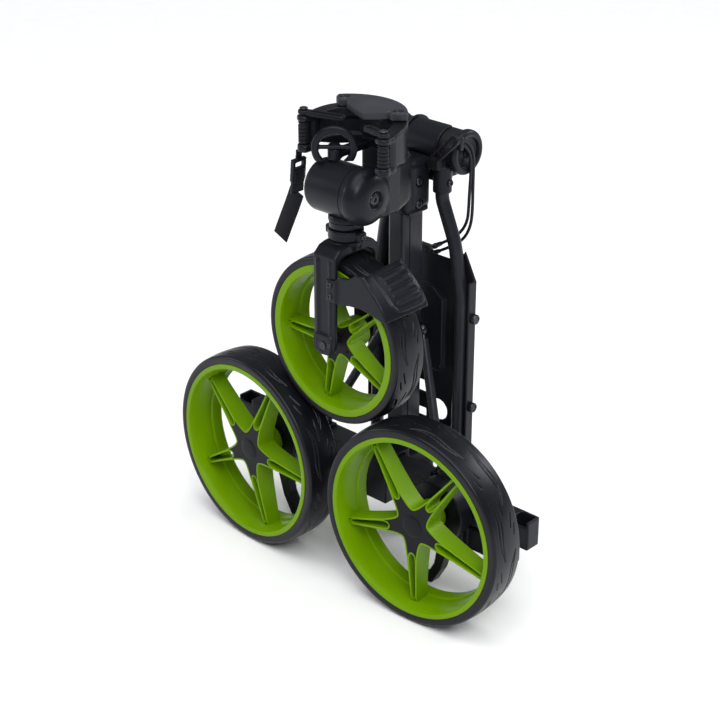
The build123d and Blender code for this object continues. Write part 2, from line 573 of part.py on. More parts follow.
def storage_panel():
    """Moulded panel behind the tubes, with a sunk eight-sided field, cut-outs and side flanges."""
    front, back = PANEL_Y

    def sheet_of(face, y, thickness):
        return extrude(Plane.XZ.offset(-y) * face, thickness)

    half_outline = [(93, 165), (93, 421), (74, 458), (62, 440)]
    outline = half_outline + [(-x, z) for x, z in half_outline[::-1]]
    plate = sheet_of(make_face(Polyline(*outline, close=True)), back, back - front)
    plate -= block((-60, front - 1, 160), (60, back + 1, 178))
    sunk_half = [(36, 266), (41, 274), (41, 378), (20, 394)]
    sunk = make_face(Polyline(*sunk_half, *[(-x, z) for x, z in sunk_half[::-1]], close=True))
    plate += sheet_of(sunk - offset(sunk, -3), front, 2)
    for side in (1, -1):
        plate -= rod((side * 33, 200, 203), (side * 33, 215, 203), 16)
        plate += block((min(side * 90, side * 94), TUBE_Y - 6, 165), (max(side * 90, side * 94), back, 420))
    for low, high in ((183, 196), (222, 240)):
        plate -= block((-12, front - 1, low), (10, back + 1, high))
    plate += block((-16, front, 424), (8, back + 9, 447))
    plate -= both_sides(handle_tube())
    save("storage_panel", plate)
    knobs = []
    for side in (1, -1):
        for z in KNOB_Z:
            knobs.append(screw((side * 94, 204, z), (-side, 0, 0), 3, 6, 7, 7))
        knobs.append(screw((side * (TUBE_TOP_X + 13), TUBE_TOP_Y, 555), (-side, 0, 0), 3, 5, 5, 3))
    save("handle_screws", knobs)


def handle_head():
    socket = rod((TUBE_TOP_X, TUBE_TOP_Y, 540), (TUBE_TOP_X, TUBE_TOP_Y, 578), 13)
    socket += block((TUBE_TOP_X - 8, TUBE_TOP_Y - 6, 560), (TUBE_TOP_X + 8, HEAD_Y, 592))
    yoke = socket + mirrored(socket) + block((-TUBE_TOP_X, 204, 546), (TUBE_TOP_X, 214, 561))
    yoke -= both_sides(handle_tube())
    yoke -= rod((-90, HEAD_Y, HEAD_Z), (90, HEAD_Y, HEAD_Z), HEAD_R)
    save("handle_yoke", yoke)
    grip = rod((-DISC_X[0], HEAD_Y, HEAD_Z), (DISC_X[0], HEAD_Y, HEAD_Z), HEAD_R)
    save("handle_grip", grip)
    cover = rod((-23, HEAD_Y, HEAD_Z), (34, HEAD_Y, HEAD_Z), DISC_R)
    cover -= rod((-40, HEAD_Y, HEAD_Z), (40, HEAD_Y, HEAD_Z), HEAD_R)
    cover -= block((-40, HEAD_Y - 40, HEAD_Z - 40), (40, HEAD_Y + 40, HEAD_Z - 4))
    cover -= block((-40, HEAD_Y + 4, HEAD_Z - 40), (40, HEAD_Y + 40, HEAD_Z + 40))
    save("grip_cover", cover)
    lever_x = (-28.5, -24.5)
    lever = rod((lever_x[0], HEAD_Y, HEAD_Z), (lever_x[1], HEAD_Y, HEAD_Z), HEAD_R + 5)
    lever -= rod((-90, HEAD_Y, HEAD_Z), (0, HEAD_Y, HEAD_Z), HEAD_R + APART)
    lever += block((lever_x[0], HEAD_Y + HEAD_R + 2, HEAD_Z - 46), (lever_x[1], HEAD_Y + HEAD_R + 8, HEAD_Z))
    save("brake_lever", lever)
    hook_face = Plane(origin=HOOK_FOOT, x_dir=(0.71, 0, 0.71), z_dir=(0, -1, 0))
    hook = hook_face * (Cylinder(7, 7) + Pos(33, 0, 0) * Box(64, 13, 7) - Pos(40, 0, 0) * Box(40, 4.4, 10))
    hook += block((TUBE_TOP_X - 6, 173.5, 579), (TUBE_TOP_X + 6, TUBE_TOP_Y - 6, 590))
    save("upper_hook", hook)
    disc = rod((DISC_X[0], HEAD_Y, HEAD_Z), (DISC_X[1], HEAD_Y, HEAD_Z), DISC_R)
    disc = fillet(disc.edges().filter_by(GeomType.CIRCLE), 3)
    clip = block((DISC_X[1] - 1, 193, 604), (DISC_X[1] + 6, 199.6, 623))
    save("brake_discs", disc + clip, mirrored(disc))


def brake_cables():
    """Two cables that leave a clip on the right-hand disc and loop down to stops on the panel."""
    cables, ferrules = [], []
    for route in CABLE_ROUTES:
        cables.append(pipe(route, arc_radii(route), CABLE_R))
        end, before = Vector(*route[-1]), Vector(*route[-2])
        along = (end - before).normalized()
        ferrules.append(rod(end, end + along * FERRULE_LENGTH, FERRULE_R))
    save("brake_cables", cables)
    save("cable_ferrules", ferrules)


os.makedirs("parts", exist_ok=True)
rear_wheels()
front_wheel()
wheel_arms()
column()
hinge_housing()
bag_bracket()
strap_hooks()
strap()
latch()
rear_beam()
base_bracket()
struts()
frame_screws()
front_arm()
fork()
fender()
handle_tubes()
storage_panel()
handle_head()
brake_cables()
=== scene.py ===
import json
from itertools import product
from math import cos, pi, radians, sin, sqrt
import bmesh
import bpy
import numpy as np
from mathutils import Matrix, Vector


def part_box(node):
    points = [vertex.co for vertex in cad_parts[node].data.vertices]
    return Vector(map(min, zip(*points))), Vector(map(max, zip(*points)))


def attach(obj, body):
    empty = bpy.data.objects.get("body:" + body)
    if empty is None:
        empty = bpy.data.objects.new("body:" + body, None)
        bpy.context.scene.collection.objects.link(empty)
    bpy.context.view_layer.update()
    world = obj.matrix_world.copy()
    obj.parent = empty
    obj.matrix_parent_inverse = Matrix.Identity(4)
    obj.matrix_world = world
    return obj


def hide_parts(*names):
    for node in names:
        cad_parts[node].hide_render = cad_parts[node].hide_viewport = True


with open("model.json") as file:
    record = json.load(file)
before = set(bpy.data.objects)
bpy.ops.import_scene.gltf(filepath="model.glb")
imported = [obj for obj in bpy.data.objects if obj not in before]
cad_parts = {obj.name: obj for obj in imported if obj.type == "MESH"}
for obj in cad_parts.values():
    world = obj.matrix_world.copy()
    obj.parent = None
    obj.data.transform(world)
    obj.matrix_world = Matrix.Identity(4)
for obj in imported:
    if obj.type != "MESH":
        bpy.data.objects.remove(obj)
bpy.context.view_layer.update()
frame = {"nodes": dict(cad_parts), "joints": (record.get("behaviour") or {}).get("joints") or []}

# ---- places: millimetres from the floor, the mid-plane and the rear rims' face plane -----------
MM = 0.001
UP = Vector((0, 0, 1))
JOINTS = {joint["name"]: joint for joint in frame["joints"]}
HUB_RIGHT = Vector(JOINTS["rear_wheel_right_spin"]["pos_m"])


def at(x, y, z):
    """A point given in millimetres from the mid-plane, the rear rims' face plane and the floor."""
    return Vector((x * MM, HUB_RIGHT.y + y * MM, z * MM))


def place_on(origin, x_axis, y_axis, z_axis):
    """Matrix from a place's own millimetres, with its three axes given, to the frame's metres."""
    turn = Matrix((x_axis, y_axis, z_axis)).transposed().to_4x4()
    return Matrix.Translation(origin) @ turn @ Matrix.Scale(MM, 4)


def wheel_place(joint_name):
    """Place of a wheel's face plane: +Z is the way the face looks, +Y is up."""
    joint = JOINTS[joint_name]
    facing = Vector(joint["axis"]).normalized()
    across = UP.cross(facing).normalized()
    return place_on(joint["pos_m"], across, facing.cross(across), facing)


# ---- camera ------------------------------------------------------------------------------------
VIEW_AZIMUTH = radians(43.06)
VIEW_ELEVATION = radians(25.85)
VIEW_DISTANCE = 2.4186
VIEW_TARGET = at(-14.7, 92.8, 305.6)
LENS = 87.4


def make_camera():
    """A camera that looks down at the cart's front from its right."""
    data = bpy.data.cameras.new("camera")
    data.lens = LENS
    data.sensor_width = 36.0
    camera = bpy.data.objects.new("camera", data)
    back = Vector((sin(VIEW_AZIMUTH) * cos(VIEW_ELEVATION), -cos(VIEW_AZIMUTH) * cos(VIEW_ELEVATION),
                   sin(VIEW_ELEVATION)))
    right = Vector((cos(VIEW_AZIMUTH), sin(VIEW_AZIMUTH), 0))
    upward = back.cross(right)
    camera.matrix_world = (Matrix.Translation(VIEW_TARGET + back * VIEW_DISTANCE)
                           @ Matrix((right, upward, back)).transposed().to_4x4())
    bpy.context.scene.collection.objects.link(camera)
    bpy.context.scene.camera = camera


# ---- materials ---------------------------------------------------------------------------------
def add_node(material, kind, **inputs):
    """A shader node with some of its inputs set. An underscore stands for a space in an input's name."""
    node = material.node_tree.nodes.new("ShaderNode" + kind)
    for name, value in inputs.items():
        node.inputs[name.replace("_", " ")].default_value = value
    return node


def new_material(name, color, roughness, metallic=0.0, tint=0.18, tint_scale=18.0, grain_scale=900.0,
                 grain=0.12, gloss_spread=0.10, edge_wear=0.0, coat=0.0, specular=0.5,
                 gloss_tint=(0.84, 0.87, 1.0)):
    """A plastic, rubber or metal: patchy colour, uneven gloss, fine moulded grain and rubbed edges."""
    material = bpy.data.materials.new(name)
    material.use_nodes = True
    link = material.node_tree.links.new
    shader = material.node_tree.nodes["Principled BSDF"]
    shader.inputs["Metallic"].default_value = metallic
    shader.inputs["Coat Weight"].default_value = coat
    shader.inputs["Coat Roughness"].default_value = 0.25
    shader.inputs["Specular IOR Level"].default_value = specular
    shader.inputs["Specular Tint"].default_value = (*gloss_tint, 1)
    coords = add_node(material, "TexCoord")
    patches = add_node(material, "TexNoise", Scale=tint_scale, Detail=5.0)
    link(coords.outputs["Object"], patches.inputs["Vector"])
    ramp = add_node(material, "ValToRGB")
    for end, position, share in zip(ramp.color_ramp.elements, (0.32, 0.68), (1 - tint, 1 + tint)):
        end.position = position
        end.color = [min(1, channel * share) for channel in color] + [1]
    link(patches.outputs["Fac"], ramp.inputs["Fac"])
    colour_out = ramp.outputs["Color"]
    if edge_wear:
        geometry = add_node(material, "NewGeometry")
        edges = add_node(material, "MapRange", From_Min=0.52, From_Max=0.62, To_Max=edge_wear)
        link(geometry.outputs["Pointiness"], edges.inputs["Value"])
        mix = add_node(material, "Mix")
        mix.data_type = "RGBA"
        mix.inputs["B"].default_value = [min(1, channel * 2.6 + 0.02) for channel in color] + [1]
        link(edges.outputs["Result"], mix.inputs["Factor"])
        link(colour_out, mix.inputs["A"])
        colour_out = mix.outputs["Result"]
    link(colour_out, shader.inputs["Base Color"])
    gloss = add_node(material, "MapRange", To_Min=roughness - gloss_spread, To_Max=roughness + gloss_spread)
    link(patches.outputs["Fac"], gloss.inputs["Value"])
    link(gloss.outputs["Result"], shader.inputs["Roughness"])
    fine = add_node(material, "TexNoise", Scale=grain_scale, Detail=3.0)
    link(coords.outputs["Object"], fine.inputs["Vector"])
    bump = add_node(material, "Bump", Strength=grain, Distance=0.0006)
    link(fine.outputs["Fac"], bump.inputs["Height"])
    link(bump.outputs["Normal"], shader.inputs["Normal"])
    return material


def webbing_material():
    """Woven black webbing: two crossed waves for the weave, with a soft sheen."""
    material = new_material("webbing", (0.0055, 0.0055, 0.0075), 0.75, grain=0.0, tint=0.25, specular=0.12)
    link = material.node_tree.links.new
    shader = material.node_tree.nodes["Principled BSDF"]
    shader.inputs["Sheen Weight"].default_value = 0.06
    coords = add_node(material, "TexCoord")
    weave = add_node(material, "Math")
    weave.operation = "MULTIPLY"
    for slot, (direction, scale) in enumerate((("Z", 420.0), ("Y", 520.0))):
        wave = add_node(material, "TexWave", Scale=scale, Distortion=0.6)
        wave.bands_direction = direction
        link(coords.outputs["Object"], wave.inputs["Vector"])
        link(wave.outputs["Fac"], weave.inputs[slot])
    bump = add_node(material, "Bump", Strength=0.6, Distance=0.0008)
    link(weave.outputs["Value"], bump.inputs["Height"])
    link(bump.outputs["Normal"], shader.inputs["Normal"])
    return material


MOULDED = new_material("moulded", (0.0075, 0.0078, 0.0112), 0.34, edge_wear=0.22, specular=0.22)
# Matte grey moulding for the cover. Its base colour is lighter than the other mouldings partly for the grey
# plastic and partly as painted light for a top lit from above.
MOULDED_MATTE_PAINTED_LIGHT = new_material("moulded_matte_painted_light", (0.0370, 0.0370, 0.0440), 0.52, edge_wear=0.20, specular=0.25)
MOULDED_DEEP = new_material("moulded_deep", (0.0050, 0.0050, 0.0062), 0.42, edge_wear=0.15, specular=0.15)
TUBE_PAINT = new_material("tube_paint", (0.0130, 0.0132, 0.0180), 0.32, grain_scale=1600.0, grain=0.18,
                          edge_wear=0.2, coat=0.05, specular=0.25)
GREEN = new_material("green", (0.140, 0.282, 0.0), 0.32, tint=0.05, grain_scale=700.0, grain=0.05,
                     specular=0.24, gloss_tint=(0.85, 1.0, 0.35))
TYRE = new_material("tyre", (0.0055, 0.0057, 0.0075), 0.33, tint=0.25, tint_scale=30.0, grain_scale=1200.0,
                    grain=0.06, gloss_spread=0.08, specular=0.26)
RUBBER = new_material("rubber", (0.0080, 0.0080, 0.0095), 0.50, tint=0.3, grain=0.2, specular=0.22)
BLACK_STEEL = new_material("black_steel", (0.050, 0.050, 0.058), 0.28, metallic=0.85, tint=0.3, grain=0.05)
STEEL = new_material("steel", (0.30, 0.30, 0.32), 0.30, metallic=1.0, tint=0.1, grain=0.05)
CABLE_JACKET = new_material("cable_jacket", (0.0055, 0.0055, 0.0070), 0.34, tint=0.2, grain=0.05,
                            specular=0.3)
WEBBING = webbing_material()


# ---- mesh builders -----------------------------------------------------------------------------
def new_piece(name, vertices, faces):
    """A smooth-shaded mesh object from points in metres."""
    mesh = bpy.data.meshes.new(name)
    mesh.from_pydata([tuple(v) for v in vertices], [], [tuple(f) for f in faces])
    mesh.validate()
    piece = bpy.data.objects.new(name, mesh)
    bpy.context.scene.collection.objects.link(piece)
    repair(piece)
    return piece


def repair(piece):
    """Welds doubled points and turns every face outwards."""
    shape = bmesh.new()
    shape.from_mesh(piece.data)
    bmesh.ops.remove_doubles(shape, verts=shape.verts, dist=1e-6)
    bmesh.ops.recalc_face_normals(shape, faces=shape.faces)
    shape.to_mesh(piece.data)
    shape.free()


def shade(piece, angle=32.0):
    """Smooth faces with sharp edges kept above an angle."""
    for polygon in piece.data.polygons:
        polygon.use_smooth = True
    shape = bmesh.new()
    shape.from_mesh(piece.data)
    limit = radians(angle)
    for edge in shape.edges:
        edge.smooth = len(edge.link_faces) == 2 and edge.calc_face_angle(0) < limit
    shape.to_mesh(piece.data)
    shape.free()


def settle(piece):
    """Applies every modifier."""
    graph = bpy.context.evaluated_depsgraph_get()
    mesh = bpy.data.meshes.new_from_object(piece.evaluated_get(graph))
    old = piece.data
    piece.modifiers.clear()
    piece.data = mesh
    if old.users == 0:
        bpy.data.meshes.remove(old)


def grid_faces(rows, columns, wrap_rows=False, wrap_columns=False):
    """Quads over a grid of points stored row by row."""
    faces = []
    for i in range(rows if wrap_rows else rows - 1):
        for j in range(columns if wrap_columns else columns - 1):
            a = i * columns + j
            b = i * columns + (j + 1) % columns
            c = ((i + 1) % rows) * columns + (j + 1) % columns
            d = ((i + 1) % rows) * columns + j
            faces.append((a, b, c, d))
    return faces


def tube_faces(rows, columns):
    """Quads over a grid that closes on itself across its columns, with both ends shut."""
    last = (rows - 1) * columns
    ends = [tuple(range(columns))[::-1], tuple(range(last, last + columns))]
    return grid_faces(rows, columns, False, True) + ends


def lathe(name, profile, place, segments=96):
    """A closed outline of (radius, height) pairs turned about the place's Z axis."""
    vertices = []
    for i in range(segments):
        angle = 2 * pi * i / segments
        for radius, height in profile:
            vertices.append(place @ Vector((radius * cos(angle), radius * sin(angle), height)))
    return new_piece(name, vertices, grid_faces(segments, len(profile), True, True))


def frame_along(start, direction):
    """Place with its Z axis along a direction."""
    direction = Vector(direction).normalized()
    upward = Vector((0, 1, 0)) if abs(direction.z) > 0.95 else UP
    across = upward.cross(direction).normalized()
    return place_on(start, across, direction.cross(across), direction)


def cylinder(name, start, end, radius, segments=48, edge=0.8):
    """A round bar with eased edges. start and end in metres, radius and edge in millimetres."""
    length = (end - start).length / MM
    profile = [(0, 0), (radius - edge, 0), (radius, edge), (radius, length - edge), (radius - edge, length),
               (0, length)]
    return lathe(name, profile, frame_along(start, end - start), segments)


BOX_FACES = [(0, 1, 3, 2), (4, 6, 7, 5), (0, 4, 5, 1), (2, 3, 7, 6), (0, 2, 6, 4), (1, 5, 7, 3)]


def brick(name, low, high, edge=1.0, steps=3):
    """A box with rounded edges, from two opposite corners in millimetres."""
    low, high = zip(*(sorted(pair) for pair in zip(low, high)))
    piece = new_piece(name, [at(*corner) for corner in product(*zip(low, high))], BOX_FACES)
    ease(piece, edge, steps)
    return piece


def ease(piece, width, steps=3):
    """Rounds the sharp edges of a piece."""
    bevel = piece.modifiers.new("ease", "BEVEL")
    bevel.width = width * MM
    bevel.segments = steps
    bevel.limit_method = "ANGLE"
    bevel.angle_limit = radians(30)
    settle(piece)


def prism(name, outline, origin, u_axis, v_axis, depth, edge=1.0, steps=2):
    """A flat outline, in millimetres along two axes, thickened by depth along their cross product."""
    u_axis, v_axis = Vector(u_axis), Vector(v_axis)
    normal = u_axis.cross(v_axis)
    count = len(outline)
    base = [origin + (u_axis * u + v_axis * v) * MM for u, v in outline]
    top = [point + normal * depth * MM for point in base]
    faces = [tuple(range(count))[::-1], tuple(range(count, 2 * count))]
    faces += [(i, (i + 1) % count, count + (i + 1) % count, count + i) for i in range(count)]
    piece = new_piece(name, base + top, faces)
    if edge:
        ease(piece, edge, steps)
    return piece


def join(name, pieces):
    """Several pieces as one object."""
    shape = bmesh.new()
    for piece in pieces:
        shape.from_mesh(piece.data)
    mesh = bpy.data.meshes.new(name)
    shape.to_mesh(mesh)
    shape.free()
    for piece in pieces:
        bpy.data.objects.remove(piece)
    joined = bpy.data.objects.new(name, mesh)
    bpy.context.scene.collection.objects.link(joined)
    return joined


def blend_solid(name, solids, voxel, rounds, cuts=()):
    """Merges overlapping solids into one moulding with softened edges, then cuts holes in it."""
    piece = join(name, solids)
    remesh = piece.modifiers.new("merge", "REMESH")
    remesh.mode = "VOXEL"
    remesh.voxel_size = voxel * MM
    smooth = piece.modifiers.new("soften", "SMOOTH")
    smooth.factor = 0.5
    smooth.iterations = rounds
    settle(piece)
    for cut in cuts:
        take_away(piece, cut)
    return piece


def take_away(piece, cutter):
    """Cuts one solid out of another."""
    boolean = piece.modifiers.new("cut", "BOOLEAN")
    boolean.operation = "DIFFERENCE"
    boolean.solver = "EXACT"
    boolean.object = cutter
    settle(piece)
    bpy.data.objects.remove(cutter)


def cad_copy(node):
    """A free copy of a CAD node's mesh."""
    copy = bpy.data.objects.new(node + "_copy", frame["nodes"][node].data.copy())
    bpy.context.scene.collection.objects.link(copy)
    return copy


def smooth_path(points, resolution=12):
    """Points in metres along the NURBS curve that the given points, in metres, control."""
    curve = bpy.data.curves.new("path", "CURVE")
    curve.dimensions = "3D"
    curve.resolution_u = resolution
    spline = curve.splines.new("NURBS")
    spline.points.add(len(points) - 1)
    for point, place in zip(spline.points, points):
        point.co = (*place, 1)
    spline.order_u = 3
    spline.use_endpoint_u = True
    holder = bpy.data.objects.new("path", curve)
    mesh = bpy.data.meshes.new_from_object(holder)
    result = [vertex.co.copy() for vertex in mesh.vertices]
    bpy.data.objects.remove(holder)
    bpy.data.meshes.remove(mesh)
    return result


def sweep(name, path, section):
    """A closed section of (across, up) millimetres carried along points in metres, with both ends shut."""
    vertices, count = [], len(section)
    side = None
    for i, point in enumerate(path):
        ahead = path[min(i + 1, len(path) - 1)] - path[max(i - 1, 0)]
        ahead.normalize()
        if side is None:
            side = ahead.cross(UP if abs(ahead.z) < 0.9 else Vector((0, 1, 0))).normalized()
        side = (side - ahead * side.dot(ahead)).normalized()
        upward = side.cross(ahead)
        vertices += [point + (side * u + upward * v) * MM for u, v in section]
    return new_piece(name, vertices, tube_faces(len(path), count))


def ring_section(radius, sides=16):
    """A circle as a section."""
    return [(radius * cos(2 * pi * i / sides), radius * sin(2 * pi * i / sides)) for i in range(sides)]


def place_piece(piece, body, material, replaces=(), angle=32.0):
    """Gives a finished piece its material and body, and hides the CAD nodes that it stands for."""
    shade(piece, angle)
    piece.data.materials.clear()
    piece.data.materials.append(material)
    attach(piece, body)
    if replaces:
        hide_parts(*replaces)


def mould(name, body, solids, voxel, rounds, cuts=(), material=MOULDED, angle=40):
    """Blends solids into the moulding that stands for the CAD node of the same name."""
    place_piece(blend_solid(name, solids, voxel, rounds, cuts), body, material, [name], angle)


def group(name, body, pieces, material, angle=40):
    """Joins pieces into the one that stands for the CAD node of the same name."""
    place_piece(join(name, pieces), body, material, [name], angle)


# ---- screws ------------------------------------------------------------------------------------
def screw_head(name, seat, outward, radius, height):
    """A pan head with a six-lobed recess."""
    place = frame_along(seat, outward)
    segments = 48
    rows = [(0.0, 0.45, 1), (0.30, 0.45, 1), (0.40, 1.0, 1), (0.46, 1.03, 0), (0.72, 1.0, 0), (0.93, 0.72, 0),
            (1.0, 0.3, 0), (1.0, 0.0, 0), (0.0, 0.0, 0)]
    vertices = []
    for i in range(segments):
        angle = 2 * pi * i / segments
        for share, level, lobed in rows:
            reach = share * radius * (1 + 0.16 * cos(6 * angle) * lobed)
            vertices.append(place @ Vector((reach * cos(angle), reach * sin(angle), level * height)))
    return new_piece(name, vertices, grid_faces(segments, len(rows), True, True))


def screw_group(name, body, heads):
    """Several screw heads as one piece. Each is (seat, outward, radius, height)."""
    pieces = [screw_head("head", at(*seat), outward, *size) for seat, outward, *size in heads]
    group(name, body, pieces, BLACK_STEEL, 50)


# ---- wheels ------------------------------------------------------------------------------------
SPOKES = 5
SPOKE_STEP = 2 * pi / SPOKES


def bezier(p0, p1, p2, p3, steps):
    """Points along a cubic curve."""
    points = []
    for i in range(steps + 1):
        t = i / steps
        weights = ((1 - t) ** 3, 3 * (1 - t) ** 2 * t, 3 * (1 - t) * t * t, t ** 3)
        points.append(tuple(sum(w * p[k] for w, p in zip(weights, (p0, p1, p2, p3))) for k in range(2)))
    return points


class SpokeShape:
    """Outlines of one spoke in (along, aside) millimetres from the hub, the spoke lying along +X."""

    def __init__(self, reach, breadth):
        k = reach / 120.5
        half_step = SPOKE_STEP / 2
        valley = (26.0 * k * cos(half_step), 26.0 * k * sin(half_step))
        shoulder = (valley[0] + 9.5 * k * sin(half_step), valley[1] - 9.5 * k * cos(half_step))
        self.flank = bezier((reach + 1.5, 4.3 * breadth), (72 * k, 5.6 * breadth), shoulder, valley, 36)
        self.breadth = breadth
        self.scale = k
        self.slot = self.slot_side()

    def flank_offset(self, along):
        for (s0, o0), (s1, o1) in zip(self.flank, self.flank[1:]):
            if s1 <= along <= s0:
                return o0 + (o1 - o0) * (along - s0) / (s1 - s0)
        return self.flank[-1][1]

    def slot_side(self):
        """Half of the closed loop round the slot, from its round end to its point."""
        k = self.scale
        b = self.breadth
        side = [(41.5 * k, 0.0), (42.0 * k, 2.2 * b), (43.6 * k, 4.0 * b), (46.5 * k, 5.2 * b),
                (51.0 * k, 5.9 * b), (57.0 * k, 6.1 * b)]
        for along in range(64, 112, 6):
            side.append((along * k, self.flank_offset(along * k) - 0.8))
        side += [(114.0 * k, 2.9 * b), (117.0 * k, 1.4 * b), (118.2 * k, 0.4)]
        return side

    def cap_half(self):
        """Boundary of the black cap on one side of the spoke, from the slot's end to the valley."""
        inner = [(s - 0.5, o + 0.7) for s, o in self.slot[:4]]
        inner[0] = (self.slot[0][0] - 0.9, 0.0)
        outer = [(s, o - 1.0) for s, o in self.flank if s < 49 * self.scale]
        return inner, outer


def turned(point, angle):
    """A flat point turned about the hub."""
    return (point[0] * cos(angle) - point[1] * sin(angle), point[0] * sin(angle) + point[1] * cos(angle))


def wall(points, thick, front, back, place, closed=False):
    """A thin upright wall along a flat path, from height front(radius) down to the back height."""
    count = len(points)
    half = thick / 2
    vertices = []
    for i, (x, y) in enumerate(points):
        before = points[(i - 1) % count] if closed else points[max(i - 1, 0)]
        after = points[(i + 1) % count] if closed else points[min(i + 1, count - 1)]
        run = Vector((after[0] - before[0], after[1] - before[1])).normalized()
        nx, ny = -run.y, run.x
        top = front(sqrt(x * x + y * y))
        for aside, height in ((-half * 1.3, back), (-half, top - 0.5), (-half * 0.5, top),
                              (half * 0.5, top), (half, top - 0.5), (half * 1.3, back)):
            vertices.append(place @ Vector((x + nx * aside, y + ny * aside, height)))
    return new_piece("wall", vertices, grid_faces(count, 6, True, True) if closed else tube_faces(count, 6))


def make_rim(name, place, lip_r, width, phase, body, lip_width, breadth):
    """Barrel, hub and five spokes, each a pair of walls round a closed slot."""
    reach = lip_r - 10.5
    shape = SpokeShape(reach, breadth)
    inside = lip_r - lip_width
    profile = [(lip_r, -3.2), (lip_r, -0.6), (lip_r - 0.6, 0), (inside + 1.8, 0), (inside + 0.7, -0.5),
               (inside, -2.0), (min(inside, lip_r - 9.4), -8.0), (min(inside, lip_r - 10.4), -16),
               (lip_r - 11.2, 20 - width), (lip_r - 12.6, 18.6 - width), (lip_r - 13.6, 18.0 - width),
               (lip_r - 14.4, 3 - width), (lip_r - 12.5, 0.3 - width), (lip_r - 11.5, -width),
               (lip_r - 0.8, -width), (lip_r, 0.8 - width), (lip_r, 3.2 - width),
               (lip_r - 6.4, 3.6 - width), (lip_r - 6.4, -3.6)]
    parts = [lathe("barrel", profile, place, 160)]

    def front(radius):
        inner = 45.0 * shape.scale
        return -9.6 - 6.4 * min(1, max(0, (radius - inner) / (reach - inner)))

    for i in range(SPOKES):
        angle = phase + SPOKE_STEP * i
        valley_side = [turned(p, angle) for p in shape.flank]
        other_side = [turned((s, -o), angle + SPOKE_STEP) for s, o in shape.flank]
        parts.append(wall(valley_side + other_side[-2::-1], 2.3, front, 19.6 - width, place))
        loop = [turned(p, angle) for p in shape.slot] + [turned((s, -o), angle) for s, o in shape.slot[:0:-1]]
        parts.append(wall(loop, 1.9, front, 19.6 - width, place, closed=True))
    hub = [(8.2, -14), (23, -14), (24, -15), (21.5, 2 - width), (8.2, 2 - width)]
    parts.append(lathe("hub", hub, place, 64))
    plate = [(13.5, -20), (25.5 * shape.scale, -20), (25.5 * shape.scale, -24), (13.5, -24)]
    parts.append(lathe("plate", plate, place, 64))
    group(name, body, parts, GREEN, 38)


def make_star_cap(name, place, lip_r, phase, body, hole, breadth):
    """Black star between the spokes' roots, with a low round boss."""
    shape = SpokeShape(lip_r - 10.5, breadth)
    inner, outer = shape.cap_half()
    outline = []
    for i in range(SPOKES):
        angle = phase + SPOKE_STEP * i
        half = inner[:-1] + outer
        outline += [turned((s, -o), angle) for s, o in half[:0:-1]]
        outline += [turned(p, angle) for p in half[:-1]]
    base = -12.5
    front = -10.3
    turn = place.to_3x3()
    star = prism("star", outline, place @ Vector((0, 0, base)), (turn @ Vector((1, 0, 0))) / MM,
                 (turn @ Vector((0, 1, 0))) / MM, front - base, 0.25, 1)
    boss_r = 15.5 * shape.scale
    boss = [(hole, front - 1), (boss_r + 1.2, front - 1), (boss_r + 0.9, front + 0.05), (boss_r, front + 0.5),
            (boss_r * 0.7, front + 1.0), (hole, front + 1.3 - (0.8 if hole else 0))]
    parts = [star, lathe("boss", boss, place, 72)]
    if hole:
        for i in range(SPOKES):
            seat = turned((29 * shape.scale, 0), phase + SPOKE_STEP * i)
            outward = turn @ UP
            parts.append(screw_head("cap_screw", place @ Vector((*seat, front)), outward, 2.4, 1.2))
    group(name, body, parts, MOULDED_DEEP, 25)


TREAD_PITCHES = 6
PITCH_STEPS = 198
GROOVE_DEPTH = 1.3
GROOVE_HALF = 0.8
CROWN = 1.8
SHOULDER_ROUND = 4.0


def leaf_outline(u0, v0, length, half_width, bend, slope):
    """An S-shaped closed leaf in (round, across) millimetres."""
    sides = ([], [])
    steps = 16
    for i in range(steps + 1):
        s = i / steps
        middle = v0 + slope * (s - 0.5) * length + bend * sin(2 * pi * s)
        swell = half_width * sin(pi * s) ** 0.8
        sides[0].append((u0 + length * (s - 0.5), middle + swell))
        sides[1].append((u0 + length * (s - 0.5), middle - swell))
    return sides[0] + sides[1][::-1]


def tread_lines(pitch):
    """Groove centre lines of one pitch of the tread, as lists of points."""
    lines = [leaf_outline(0.27 * pitch, 12.0, 0.56 * pitch, 2.9, 3.2, 0.09),
             leaf_outline(0.77 * pitch, -11.0, 0.56 * pitch, 2.9, -3.2, -0.09)]
    dashes = ((0.74, 15.5, 7, 2), (0.83, 11.5, 9, 3), (0.24, -15.5, 7, -2), (0.33, -11.5, 9, -3))
    for u, v, length, tilt in dashes:
        lines.append([(u * pitch - length, v - tilt), (u * pitch, v + 0.4), (u * pitch + length, v + tilt)])
    lines.append([(t * pitch, 1.2 * sin(2 * pi * t) + 0.5) for t in (0.40, 0.45, 0.50, 0.55, 0.60)])
    return lines


def groove_depths(u, v, pitch):
    """How deep the tread is cut at each (round, across) point of one pitch."""
    nearest = np.full(u.shape, 1e9)
    for line in tread_lines(pitch):
        for (u0, v0), (u1, v1) in zip(line, line[1:]):
            du, dv = u1 - u0, v1 - v0
            for shift in (-pitch, 0.0, pitch):
                t = np.clip(((u - u0 - shift) * du + (v - v0) * dv) / (du * du + dv * dv), 0, 1)
                nearest = np.minimum(nearest, np.hypot(u - u0 - shift - t * du, v - v0 - t * dv))
    rise = np.clip((nearest - GROOVE_HALF * 0.3) / (GROOVE_HALF * 1.2), 0, 1)
    return GROOVE_DEPTH * (1 - rise * rise * (3 - 2 * rise))


